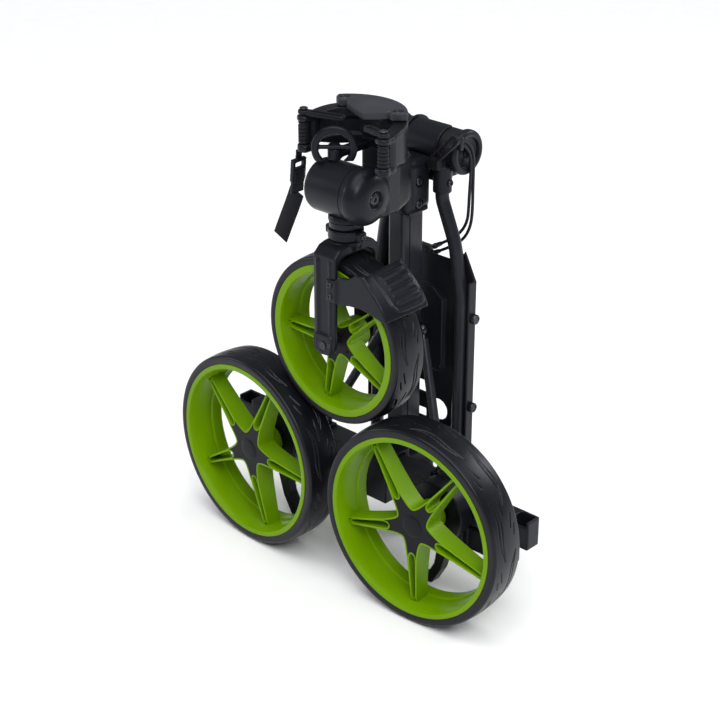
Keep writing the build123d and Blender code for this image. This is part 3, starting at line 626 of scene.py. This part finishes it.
def make_tyre(name, place, outer_r, lip_r, width, body):
    """Flat black sidewalls, round shoulders and a nearly flat tread cut with leaves and dashes."""
    half = width / 2 - 1
    seat = [(lip_r - 6.3, half - 2.6), (lip_r + 0.2, half - 2.6), (lip_r + 0.3, half - 0.3),
            (lip_r + 0.9, half)]
    edge_r = outer_r - CROWN - SHOULDER_ROUND
    shoulder = []
    for i in range(6):
        turn = pi / 2 * i / 5
        shoulder.append((edge_r + SHOULDER_ROUND * sin(turn), half - SHOULDER_ROUND * (1 - cos(turn))))
    flat = half - SHOULDER_ROUND
    across = np.linspace(flat, -flat, 62)[1:-1]
    tread = [(outer_r - 0.1 - CROWN * (abs(v) / flat) ** 2, v) for v in across]
    front = seat + shoulder
    section = front + tread + [(r, -v) for r, v in front[::-1]]
    radii = np.array([r for r, _ in section])
    heights = np.array([v for _, v in section])
    pitch = 2 * pi * outer_r / TREAD_PITCHES
    u, v = np.meshgrid(np.arange(PITCH_STEPS) * pitch / PITCH_STEPS, heights, indexing="ij")
    cut = groove_depths(u, v, pitch)
    cut[:, :len(front)] = 0
    cut[:, -len(front):] = 0
    segments = TREAD_PITCHES * PITCH_STEPS
    reach = np.tile(radii[None, :] - cut, (TREAD_PITCHES, 1))
    angles = (2 * pi * np.arange(segments) / segments)[:, None]
    points = np.stack([reach * np.cos(angles), reach * np.sin(angles),
                       np.broadcast_to(heights - width / 2, reach.shape)], axis=-1).reshape(-1, 3)
    matrix = np.array(place)
    points = points @ matrix[:3, :3].T + matrix[:3, 3]
    piece = new_piece(name, points.tolist(), grid_faces(segments, len(section), True, True))
    place_piece(piece, body, TYRE, [name], 60)


def make_wheels():
    """Rim, tyre and star cap of each wheel."""
    for side, phase in (("right", -90.0), ("left", -77.0)):
        place = wheel_place(f"rear_wheel_{side}_spin")
        body = f"rear_wheel_{side}"
        make_rim(f"rear_rim_{side}", place, 131.0, 58.0, radians(phase), body, 7.4, 1.0)
        make_tyre(f"rear_tyre_{side}", place, 145.0, 131.0, 58.0, body)
        make_star_cap(f"rear_hub_cap_{side}", place, 131.0, radians(phase), body, 0.0, 1.0)
    place = wheel_place("front_wheel_spin")
    place = Matrix.Translation((0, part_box("front_rim")[0].y - place.translation.y, 0)) @ place
    phase = radians(112.0)
    make_rim("front_rim", place, 107.0, 56.0, phase, "front_wheel", 10.8, 1.12)
    make_tyre("front_tyre", place, 120.0, 107.0, 56.0, "front_wheel")
    make_star_cap("front_hub_cap", place, 107.0, phase, "front_wheel", 7.5, 1.12)


# ---- CAD nodes that keep their shape -----------------------------------------------------------
KEPT = (
    (TUBE_PAINT, ("column", "rear_beam", "handle_tubes", "strut_tubes")),
    (BLACK_STEEL, ("hinge_pins", "strut_ends", "front_axle")),
    (STEEL, ("rear_axle_right", "rear_axle_left", "front_bearings", "rear_bearings_right",
             "rear_bearings_left", "latch_plunger", "latch_spring")),
    (RUBBER, ("prop_foot",)),
)


def keep_cad_nodes():
    """CAD nodes whose shape is already right get a material and eased edges."""
    for material, names in KEPT:
        for name in names:
            node = frame["nodes"][name]
            node.data.materials.clear()
            node.data.materials.append(material)
            bevel = node.modifiers.new("ease", "BEVEL")
            bevel.width = 0.6 * MM
            bevel.segments = 2
            bevel.limit_method = "ANGLE"
            bevel.angle_limit = radians(40)


# ---- mouldings whose CAD solids only need soft edges -------------------------------------------
SOFTENED = {
    "frame": ["latch_guide", "beam_end_caps", "base_bracket"],
    "handle_frame": ["storage_panel", "handle_yoke"],
    "brake_lever": ["brake_lever"],
    "arm_right": ["wheel_arm_right"],
    "arm_left": ["wheel_arm_left"],
}


def soften_mouldings():
    """CAD solids of plain mouldings, with their edges melted a little."""
    for body, names in SOFTENED.items():
        for name in names:
            mould(name, body, [cad_copy(name)], 1.3, 4, angle=45)


# ---- front fold joint --------------------------------------------------------------------------
FOLD = (50.0, 570.0)
BARREL_R = 36.0
CHEEK_R = 39.0


def turned_on_x(name, profile, y, z, segments=96):
    """A closed outline of (radius, x) pairs turned about a line along X through y, z."""
    return lathe(name, profile, place_on(at(0, y, z), (0, 1, 0), (0, 0, 1), (1, 0, 0)), segments)


def rounded_end(radius, x, round_r, direction, steps=8):
    """Corner of a turned outline: an arc from the flank to the flat end at x."""
    points = []
    for i in range(steps + 1):
        turn = pi / 2 * i / steps
        points.append((radius - round_r * (1 - cos(turn)), x - direction * round_r * (1 - sin(turn))))
    return points


def make_fold_joint():
    """The round barrel that the front arm turns on, its end cap and the neck under it."""
    y, z = FOLD
    shell = turned_on_x("shell", [(8, -38.6), (BARREL_R - 1.2, -38.6), (BARREL_R, -37.6), (BARREL_R, 18.6),
                                  (BARREL_R - 0.9, 19.2), (BARREL_R - 0.9, 20.2), (BARREL_R, 20.8),
                                  (BARREL_R, 27.2), (BARREL_R - 1, 28), (8, 28)], y, z)
    boss = cylinder("boss", at(0, 50, 531), at(0, 50, 560), 20, 64, 1.5)
    collar = lathe("collar", [(16, 0), (22.5, 0), (23.4, 1), (23.4, 6), (22.4, 8), (20, 9.5), (16, 9.5)],
                   frame_along(at(0, 50, 530.4), UP), 64)
    group("barrel", "front_arm", [shell, boss, collar], MOULDED, 35)
    dome = rounded_end(BARREL_R - 0.4, -45, 7, -1) + [(19, -45), (17.5, -44.2), (0, -44.2), (0, -39.4),
                                                      (BARREL_R - 1.2, -39.4), (BARREL_R - 0.4, -38.8)]
    cap = turned_on_x("barrel_cap", dome, y, z)
    place_piece(cap, "front_arm", MOULDED, ["barrel_cap"], 30)
    neck = lathe("neck", [(0, 0), (17, 0), (17, 16), (22, 17), (22.4, 18), (22.4, 24), (21.6, 25), (0, 25)],
                 frame_along(at(0, 50, 505), UP), 64)
    place_piece(neck, "front_arm", MOULDED, ["neck"], 30)


def make_housing():
    """Socket on the column's top, the side web and the domed cheek round the fold bolt."""
    y, z = FOLD
    dome = [(11, 28.4), (CHEEK_R - 1, 28.4), (CHEEK_R, 29.4), (CHEEK_R, 33)]
    for i in range(1, 15):
        reach = 13 + (CHEEK_R - 13) * cos(pi / 2 * i / 14)
        dome.append((reach, 33 + 21 * sin(pi / 2 * i / 14) ** 0.9))
    dome += [(11.5, 53.4), (11, 52)]
    cheek = turned_on_x("cheek", dome, y, z)
    seat = turned_on_x("seat", [(0, 40), (12, 40), (12, 48.6), (0, 48.6)], y, z, 48)
    web_outline = [(28.4, 54), (44, 54), (47, 82), (45, 104), (34, 134), (27, 150), (0, 150), (14, 108),
                   (28.4, 88)]
    web = prism("web", web_outline, at(0, 0, 536), (1, 0, 0), (0, 1, 0), 68, 6, 4)
    socket = brick("socket", (-24, 140, 514), (24.5, 192, 588), 8, 5)
    band = brick("band", (-25.2, 146, 512), (25.8, 186, 519), 2.5, 3)
    pad = brick("pad", (14, 150, 520), (27, 188, 584), 6, 4)
    shelf = brick("shelf", (-24, 104, 578), (24, 148, 616), 4, 3)
    column_hole = brick("hole", (-14.1, 146.9, 480), (14.1, 190.1, 584.9), 0.5, 1)
    grip_hole = turned_on_x("grip_hole", [(0, -70), (29.6, -70), (29.6, 70), (0, 70)], *HEAD, 64)
    barrel_room = turned_on_x("room", [(0, -50), (38, -50), (38, 28.3), (0, 28.3)], y, z, 96)
    sinks = [cylinder("sink", at(24.4, 165, z), at(36, 165, z), 8.2, 40, 0.2) for z in (558, 525)]
    mould("hinge_housing", "frame", [cheek, seat, web, socket, band, pad, shelf], 1.2, 5,
          (column_hole, grip_hole, barrel_room, *sinks))
    bolt = screw_head("fold_bolt", at(48.6, *FOLD), Vector((1, 0, 0)), 8.5, 3.4)
    shank = cylinder("shank", at(-38, *FOLD), at(48.7, *FOLD), 7, 32, 0.5)
    group("fold_bolt", "frame", [bolt, shank], BLACK_STEEL)


# ---- bag cradle --------------------------------------------------------------------------------
CRADLE_Y = 56.0
CRADLE_Z = (612.0, 664.0)
COVER_TOP = 676.0
TIP = (70.0, 45.0)


def on_tip(side, z):
    """A point on the pin's line in the right (1) or left (-1) tip."""
    return at(side * TIP[0], TIP[1], z)


def arc_band(name, inner, outer, low, high, start, end):
    """A curved wall about the cradle's middle, between two angles in degrees, and less tall at its ends."""
    vertices = []
    edge = 1.5
    steps = 56
    for i in range(steps + 1):
        angle = radians(start + (end - start) * i / steps)
        top = high - 6 * max(0.0, 1 - sin(angle) / 0.6) ** 1.5
        base = low + 6 * min(1.0, max(0.0, 1.3 - 2.6 * sin(angle)))
        section = [(inner, base + edge), (inner + edge, base), (outer - edge, base), (outer, base + edge),
                   (outer, top - edge), (outer - edge, top), (inner + edge, top), (inner, top - edge)]
        vertices += [at(r * cos(angle), CRADLE_Y + r * sin(angle), z) for r, z in section]
    return new_piece(name, vertices, tube_faces(steps + 1, len(section)))


def make_cradle():
    """The bracket that holds a bag's foot, with a ribbed roller and a pin in each tip."""
    low, high = CRADLE_Z
    solids = [arc_band("wall", 63.5, 75.6, low, high, -4, 184), arc_band("top_rim", 56, 76, high - 16, high,
                                                                         4, 176),
              arc_band("low_rim", 60, 75.6, low, low + 14, -3, 183), brick("tongue", (-24, 104, 610),
                                                                           (24, 128, 628), 3)]
    for side in (1, -1):
        for z_low, z_high in ((608, 619), (650, 658)):
            solids.append(brick("tip", (side * 60, 37, z_low), (side * 77, 62, z_high), 4, 4))
            solids.append(cylinder("eye", on_tip(side, z_low), on_tip(side, z_high), 9, 40, 1.5))
        solids.append(brick("post", (side * 61, 54, 608), (side * 76, 66, 657), 3, 3))
    for angle in (35, 65, 115, 145):
        rib = (66 * cos(radians(angle)), CRADLE_Y + 66 * sin(radians(angle)))
        solids.append(cylinder("rib", at(*rib, low + 3), at(*rib, high - 3), 4.5, 24, 1))
    mould("bag_bracket", "frame", solids, 1.3, 4)
    ribbed = [(3.1, 620), (6.6, 620)]
    for z in (621, 626, 631, 636, 641):
        ribbed += [(7.6, z), (7.6, z + 3.4), (6.6, z + 4)]
    ribbed += [(6.6, 647), (7.6, 648), (7.2, 649), (3.1, 649)]
    pins = []
    for side, side_name in ((1, "right"), (-1, "left")):
        roller = lathe(f"tip_roller_{side_name}", ribbed,
                       Matrix.Translation(on_tip(side, 0)) @ Matrix.Scale(MM, 4), 40)
        place_piece(roller, "frame", RUBBER, angle=30)
        pins.append(cylinder("pin", on_tip(side, 607), on_tip(side, 667), 3, 24, 0.4))
        pins.append(screw_head("head", on_tip(side, 666.9), UP, 5.6, 1.5))
    group("bracket_pins", "frame", pins, BLACK_STEEL)


def make_cover():
    """Hood over the cradle's back: flat at the rear, with a notched front edge that droops a little."""
    outline = []
    for i in range(15):
        angle = radians(36 + 108 * i / 14)
        outline.append((76 * cos(angle), CRADLE_Y + 76 * sin(angle)))
    outline += [(-57, 92), (-47, 86), (-42, 87), (-39, 94), (-35, 88), (4, 80), (35, 88), (39, 94), (42, 87),
                (47, 86), (57, 92)]
    under = COVER_TOP - 11
    solids = [prism("plate", outline, at(0, 0, under), (1, 0, 0), (0, 1, 0), 11, 2, 3)]
    for side in (1, -1):
        solids.append(cylinder("boss", at(side * 47, 98, under), at(side * 47, 98, COVER_TOP), 9.5, 40, 1.5))
    piece = blend_solid("bracket_cover", solids, 1.2, 4)
    for vertex in piece.data.vertices:
        x = vertex.co.x / MM
        ahead = max(0.0, 96 - (vertex.co.y - HUB_RIGHT.y) / MM)
        vertex.co.z -= 0.46 * ahead * max(0.0, 1 - (x / 46) ** 2) * MM
    for side in (1, -1):
        seat = at(side * 47, 98, COVER_TOP - 2)
        take_away(piece, cylinder("sink", seat, seat + UP * 7 * MM, 7.2, 40, 0.2))
    # The cover takes the matte moulding, whose lighter base colour is partly painted light for its lit top.
    place_piece(piece, "frame", MOULDED_MATTE_PAINTED_LIGHT, ["bracket_cover"], 35)


def round_tip(reach, half):
    """Half circle at the far end of a flat loop."""
    return [(reach - half + half * sin(pi * i / 10), half * cos(pi * i / 10)) for i in range(11)]


def slotted_bar(place, reach, width, wall_t, height, eye_r):
    """Solids of a flat loop with a long slot, growing along a place's X axis from an eye."""
    half = width / 2 - wall_t / 2
    path = [(eye_r * 0.6, half * 0.7), (eye_r + 4, half), *round_tip(reach, half), (eye_r + 4, -half),
            (eye_r * 0.6, -half * 0.7)]
    loop = wall(path, wall_t, lambda radius: height, 0, place)
    outline = [(3.1, 0), (eye_r - 1, 0), (eye_r, 1), (eye_r, height - 1), (eye_r - 1, height), (3.1, height)]
    eye = lathe("eye", outline, place, 40)
    web = brick_in(place, (eye_r * 0.5, -half, 1), (eye_r + 3, half, height - 1))
    return [loop, eye, web]


def brick_in(place, low, high):
    """A box given in a place's own millimetres."""
    corners = [place @ Vector((x, y, z)) for x, y, z in product(*zip(low, high))]
    return new_piece("brick", corners, BOX_FACES)


def make_hooks():
    """The two strap hooks on the cradle's tips, in the way that they lie at rest."""
    for side, name, reach, swing in ((1, "right", 37, 168), (-1, "left", 60, 16)):
        turn = Matrix.Rotation(radians(swing), 4, "Z")
        place = Matrix.Translation(on_tip(side, 659.4)) @ turn @ Matrix.Scale(MM, 4)
        mould(f"strap_hook_{name}", f"hook_{name}", slotted_bar(place, reach, 13, 2.7, 5.6, 7.6), 0.7, 3,
              material=RUBBER)


LATCH = (-20.0, 50.0, 606.0)


def make_latch():
    """Pull ring on the spring plunger: a ring cut flat at the bottom, with a crossbar."""
    x, y, top = LATCH
    centre = at(x + 0.683 * 6, y - 0.73 * 6, top + 19)
    place = place_on(centre, (0.73, 0.683, 0), (0, 0, 1), (0.683, -0.73, 0))
    ring = lathe("ring", [(20.6, -2.8), (22.2, -4.6), (28.4, -4.6), (30.0, -2.8), (30.0, 2.8), (28.4, 4.6),
                          (22.2, 4.6), (20.6, 2.8)], place, 96)
    bar = brick_in(place, (-22.5, -1, -3), (22.5, 4, 3))
    hub = cylinder("hub", at(x, y, top + 18), at(x, y, top + 23), 8, 40, 1)
    floor_cut = brick("cut", (-90, -20, 560), (90, 110, top + 2.6), 0.1, 1)
    mould("latch_ring", "latch", [ring, bar, hub], 0.9, 3, (floor_cut,))


STRAP_WIDTH = 26.0


def make_strap():
    """Stiff webbing tail hanging from its buckle."""
    place = frame_along(at(-80, 45, 602), (-5, 0, -54))
    boxes = [((-1.5, -5, -7), (1.5, 5, 9)), ((-3.2, -12, 6), (3.2, 12, 10.5)),
             ((-3.2, -12, 8), (3.2, -8, 36)), ((-3.2, 8, 8), (3.2, 12, 36)),
             ((-3.2, -12, 19), (3.2, 12, 23)), ((-4.6, -9, 22), (-1.6, 9, 40)),
             ((-3.2, -12, 32), (3.2, 12, 37)), ((-2.2, -11, 36), (2.2, 11, 54.5))]
    mould("strap_buckle", "frame", [brick_in(place, *corners) for corners in boxes], 0.8, 3)
    path = smooth_path([at(-85, 45, 549), at(-90, 45, 536), at(-103, 45, 508), at(-118, 45, 475)], 12)
    half = STRAP_WIDTH / 2
    section = [(-half, -0.5), (-half + 0.6, -0.9), (half - 0.6, -0.9), (half, -0.5), (half, 0.5),
               (half - 0.6, 0.9), (-half + 0.6, 0.9), (-half, 0.5)]
    tail = sweep("strap_tail", path, section)
    place_piece(tail, "frame", WEBBING, ["strap_webbing"], 40)


# ---- fork and fender ---------------------------------------------------------------------------
def make_fork():
    """Two legs under an arch with a cup, the clamp round the neck, and their screws."""
    leg = [(-20, 492), (-20, 357), (-16, 351), (-4, 347), (9, 348), (16, 355), (18, 368), (20, 470),
           (20, 492)]
    solids = [prism("end", [(-18, 374), (-18, 357), (-14, 352), (-4, 349), (8, 350), (14, 356), (16, 374),
                            (12, 379), (-14, 379)], at(0, 8.4, 0), (1, 0, 0), (0, 0, 1), 4.2, 1.2, 2)]
    for y in (8, 85):
        solids.append(prism("leg", leg, at(0, y + 7, 0), (1, 0, 0), (0, 0, 1), 7, 2, 3))
    arch = [(8, 462), (8, 484), (11, 493), (18, 500), (30, 503), (50, 504), (70, 503), (82, 500),
            (89, 493), (92, 484), (92, 462), (85, 462), (85, 476), (81, 484), (73, 488), (27, 488),
            (19, 484), (15, 476), (15, 462)]
    solids.append(prism("arch", arch, at(-20, 0, 0), (0, 1, 0), (0, 0, 1), 40, 3, 4))
    solids.append(lathe("cup", [(0, 0), (21.5, 0), (21.5, 4), (22.6, 8), (22.6, 14.6), (0, 14.6)],
                        frame_along(at(0, 50, 490), UP), 64))
    solids.append(brick("rib", (-14.5, 5.4, 374), (-9, 10, 484), 1.5, 3))
    solids.append(brick("rib", (9, 6.2, 374), (12.5, 10, 484), 1.5, 3))
    axle_hole = cylinder("hole", at(0, -5, 363), at(0, 105, 363), 6.1, 32, 0.2)
    mould("fork", "fork", solids, 1.2, 4, (axle_hole,))
    clamp = [lathe("band", [(17.4, 0), (23.2, 0), (24, 1), (24, 13), (23.2, 14), (17.4, 14)],
                   frame_along(at(0, 50, 505.6), UP), 64)]
    for side in (1, -1):
        clamp.append(brick("lug", (side * 21, 42, 506), (side * 31, 58, 518.6), 2.5, 3))
    mould("fork_clamp", "fork", clamp, 1.0, 3)
    heads = [((13, 4.6, z), Vector((0, -1, 0)), 4.2, 2.2) for z in (454, 438)]
    heads += [((side * 31, 50, 512), Vector((side, 0, 0)), 4.2, 2.4) for side in (1, -1)]
    heads += [((x, 4.4, z), Vector((0, -1, 0)), 3.0, 1.4) for x, z in ((-14, 369), (11.5, 366), (-4, 353))]
    screw_group("fork_screws", "fork", heads)


def make_fender():
    """Side plate and a flared guard over the tread, with a ribbed pad for the foot."""
    hub_z = 363.0

    def on_guard(degrees_up, y, radius):
        angle = radians(degrees_up)
        return at(radius * cos(angle), y, hub_z + radius * sin(angle))

    def outer(y):
        return 131 + 11 * min(1.0, max(0.0, (y - 14) / 50)) ** 0.8

    steps = 26
    across = [8, 9, 12, 20, 30, 40, 50, 60, 70, 76, 79, 80]
    vertices = []
    for i in range(steps + 1):
        share = i / steps
        up = 30.5 + 30 * share
        droop = 2.6 * (2 * share - 1) ** 4
        for y in across:
            drop = 2.2 if y in (8, 80) else (0.7 if y in (9, 79) else 0)
            vertices.append(on_guard(up, y, outer(y) - drop - droop))
        for y in across[::-1]:
            vertices.append(on_guard(up, y, 124.5 + (2 if y > 44 else 0)))
    solids = [new_piece("guard", vertices, tube_faces(steps + 1, 2 * len(across)))]
    plate = [(18, 428), (18, 462), (30, 468), (44, 470), (56, 479), (66, 480), (84, 463), (100, 443),
             (107, 430), (103, 426), (88, 430), (66, 434), (44, 432), (30, 428)]
    solids.append(prism("plate", plate, at(0, 13.5, 0), (1, 0, 0), (0, 0, 1), 5.5, 1.2, 2))
    solids.append(brick("tab", (6, 4.6, 430), (24, 9, 462), 2, 3))
    for i in range(5):
        up = 38 + 4.4 * i
        path = [on_guard(up, y, outer(y) + 0.4) for y in (34, 44, 54, 64, 72)]
        solids.append(sweep("rib", path, [(-1.5, -2), (1.5, -2), (1.5, 0.6), (0.8, 1.2), (-0.8, 1.2),
                                          (-1.5, 0.6)]))
    border = [(60, 25), (50, 24), (40, 24), (35, 27), (33.5, 34), (33.5, 55), (33.5, 70), (35, 75), (40, 77),
              (60, 77)]
    path = smooth_path([on_guard(up, y, outer(y) + 0.2) for up, y in border])
    solids.append(sweep("border", path, ring_section(1.3, 8)))
    mould("fender", "fork", solids, 1.0, 3)


# ---- handle head -------------------------------------------------------------------------------
HEAD = (218.0, 594.0)
HEAD_R = 28.0
SLEEVE_R = 31.0
DISC_X = (55.0, 67.0)


def make_handle_head():
    """Grip, its cover and a round disc at each end, the right one with the cables' clip."""
    y, z = HEAD
    grip = [(0, -54.8)]
    for x in range(-54, 55, 2):
        ripple = 0.5 if (x // 2) % 2 else 0.0
        grip.append((HEAD_R - 0.3 - (ripple if abs(x) > 36 else 0), x))
    grip.append((0, 54.8))
    tube = turned_on_x("handle_grip", grip, y, z)
    place_piece(tube, "handle_frame", RUBBER, ["handle_grip"], 25)
    mould("grip_cover", "handle_frame", [cad_copy("grip_cover")], 1.0, 5)
    discs = []
    for side in (1, -1):
        near, far = DISC_X
        outline = [(0, near), (SLEEVE_R - 3, near), (SLEEVE_R - 0.6, near + 1), (SLEEVE_R, near + 3)]
        outline += rounded_end(SLEEVE_R, far, 5, 1, 8)
        outline += [(23, far), (21.6, far - 0.8), (20, far - 4.4), (17, far - 5.4), (9, far - 5.4),
                    (7.6, far - 4.6), (7, far - 2), (5, far - 1.2), (0, far - 1)]
        disc = turned_on_x("disc", outline, y, z)
        if side < 0:
            for vertex in disc.data.vertices:
                vertex.co.x = -vertex.co.x
            repair(disc)
        discs.append(disc)
    discs.append(brick("clip", (DISC_X[1] - 1, 193, 604), (DISC_X[1] + 6, 199.6, 623), 1.5, 3))
    group("brake_discs", "handle_frame", discs, MOULDED, 30)


def make_upper_hook():
    """Long rubber hook beside the handle's head, with its clevis."""
    along = Vector((0.71, 0, 0.71)).normalized()
    up = Vector((0, -1, 0))
    across = up.cross(along)
    place = place_on(at(36, 177, 584), along, across, up)
    half = 5.0
    path = [(4, half), *round_tip(62, half), (4, -half)]
    solids = [wall(path, 3.4, lambda radius: 3.5, -3.5, place)]
    eye = [(0, -3.5), (7, -3.5), (7.6, -2.8), (7.6, 2.8), (7, 3.5), (0, 3.5)]
    solids.append(lathe("eye", eye, place, 40))
    solids += [brick_in(place, (x, -5, -2.6), (x + 3, 5, 2.6)) for x in (8, 20, 34)]
    solids.append(brick("foot", (34, 174, 575), (50, 188, 590), 2, 2))
    mould("upper_hook", "handle_frame", solids, 0.9, 3, material=RUBBER)


# ---- cables ------------------------------------------------------------------------------------
CABLE_R = 2.2
CABLE_ROUTES = (
    [(69.8, 201.1, 617.5), (69.9, 209, 613), (70, 219, 602), (70, 224, 588), (70, 224.5, 570),
     (70, 224.5, 540), (70, 225, 512), (67, 226, 488), (56, 226, 466), (36, 223, 450), (18, 217, 440)],
    [(69.8, 201.1, 610.5), (69.9, 206, 607), (70, 214, 598), (70, 218.6, 586), (70, 219.2, 564),
     (67.5, 220.5, 540), (64, 224, 515), (61, 226, 494), (51.5, 226, 476), (37, 223, 462), (21, 217, 452)],
)


def make_cables():
    """Two brake cables from the clip on the right end disc to the stop on the storage panel."""
    cables = []
    for route in CABLE_ROUTES:
        path = smooth_path([at(*point) for point in route], 16)
        cables.append(sweep("cable", path, ring_section(CABLE_R, 20)))
    group("brake_cables", "handle_frame", cables, CABLE_JACKET, 50)
    ferrules = []
    for route in CABLE_ROUTES:
        end, before = at(*route[-1]), at(*route[-2])
        along = (end - before).normalized()
        outline = [(0, 0), (2.8, 0), (3.0, 1), (3.4, 4), (3.4, 8), (4.0, 8.6), (4.0, 13), (3.4, 13.8),
                   (0, 14)]
        ferrules.append(lathe("ferrule", outline, frame_along(end - along * 2 * MM, along), 32))
    group("cable_ferrules", "handle_frame", ferrules, BLACK_STEEL)


def make_screws():
    """Screws on the hinge housing and the cradle's cover, and the knobs and screws on the handle's tubes."""
    housing = [((side * 24.6, 165, z), Vector((side, 0, 0)), 6, 3) for side in (1, -1) for z in (558, 525)]
    cover = [((side * 47, 98, COVER_TOP - 2), UP, 6.4, 2.4) for side in (1, -1)]
    screw_group("frame_screws", "frame", housing + cover)
    heads = []
    for side in (1, -1):
        for z in (365, 229):
            knob = [(0, 0), (6.6, 0), (7.2, 0.8), (7.2, 5.6), (6.4, 6.8), (4.4, 7.2), (3.8, 6.2), (0, 6.2)]
            heads.append(lathe("knob", knob, frame_along(at(side * 93.6, 204, z), (side, 0, 0)), 48))
        heads.append(screw_head("head", at(side * 55, 194, 555), Vector((side, 0, 0)), 5, 3))
    group("handle_screws", "handle_frame", heads, BLACK_STEEL)


# ---- floor and lights --------------------------------------------------------------------------
LAMP_TARGET = Vector((0, 0, 0.35))


def make_studio():
    """White floor under a large soft light, with a key from the right and a rim light behind."""
    floor = new_piece("floor", [(-6, -6, 0), (6, -6, 0), (6, 6, 0), (-6, 6, 0)], [(0, 1, 2, 3)])
    white = new_material("floor", (0.95, 0.95, 0.95), 0.7, tint=0.01, grain=0.02, specular=0.1,
                         gloss_tint=(1.0, 1.0, 1.0))
    floor.data.materials.append(white)
    bpy.context.scene.view_settings.view_transform = "Standard"
    world = bpy.data.worlds.new("studio")
    world.use_nodes = True
    world.node_tree.nodes["Background"].inputs["Color"].default_value = (0.94, 0.97, 1.0, 1)
    world.node_tree.nodes["Background"].inputs["Strength"].default_value = 0.24
    bpy.context.scene.world = world
    sun = bpy.data.lights.new("sky", "SUN")
    sun.energy = 2.62
    sun.angle = radians(70)
    sky = bpy.data.objects.new("sky", sun)
    sky.rotation_euler = (radians(14), radians(12), 0)
    bpy.context.scene.collection.objects.link(sky)
    lamps = (("key", (1.5, -1.1, 1.7), 0.7, 13.0), ("side", (-1.8, -1.0, 1.0), 0.5, 7.0),
             ("back", (0.9, 1.8, 1.5), 0.8, 15.0))
    for name, place, size, power in lamps:
        data = bpy.data.lights.new(name, "AREA")
        data.size = size
        data.energy = power
        lamp = bpy.data.objects.new(name, data)
        lamp.location = place
        aim = LAMP_TARGET - Vector(place)
        lamp.rotation_euler = aim.to_track_quat("-Z", "Y").to_euler()
        bpy.context.scene.collection.objects.link(lamp)


make_camera()
make_cables()
keep_cad_nodes()
make_wheels()
soften_mouldings()
make_fold_joint()
make_housing()
make_cradle()
make_cover()
make_hooks()
make_latch()
make_strap()
make_fork()
make_fender()
make_handle_head()
make_upper_hook()
make_screws()
make_studio()
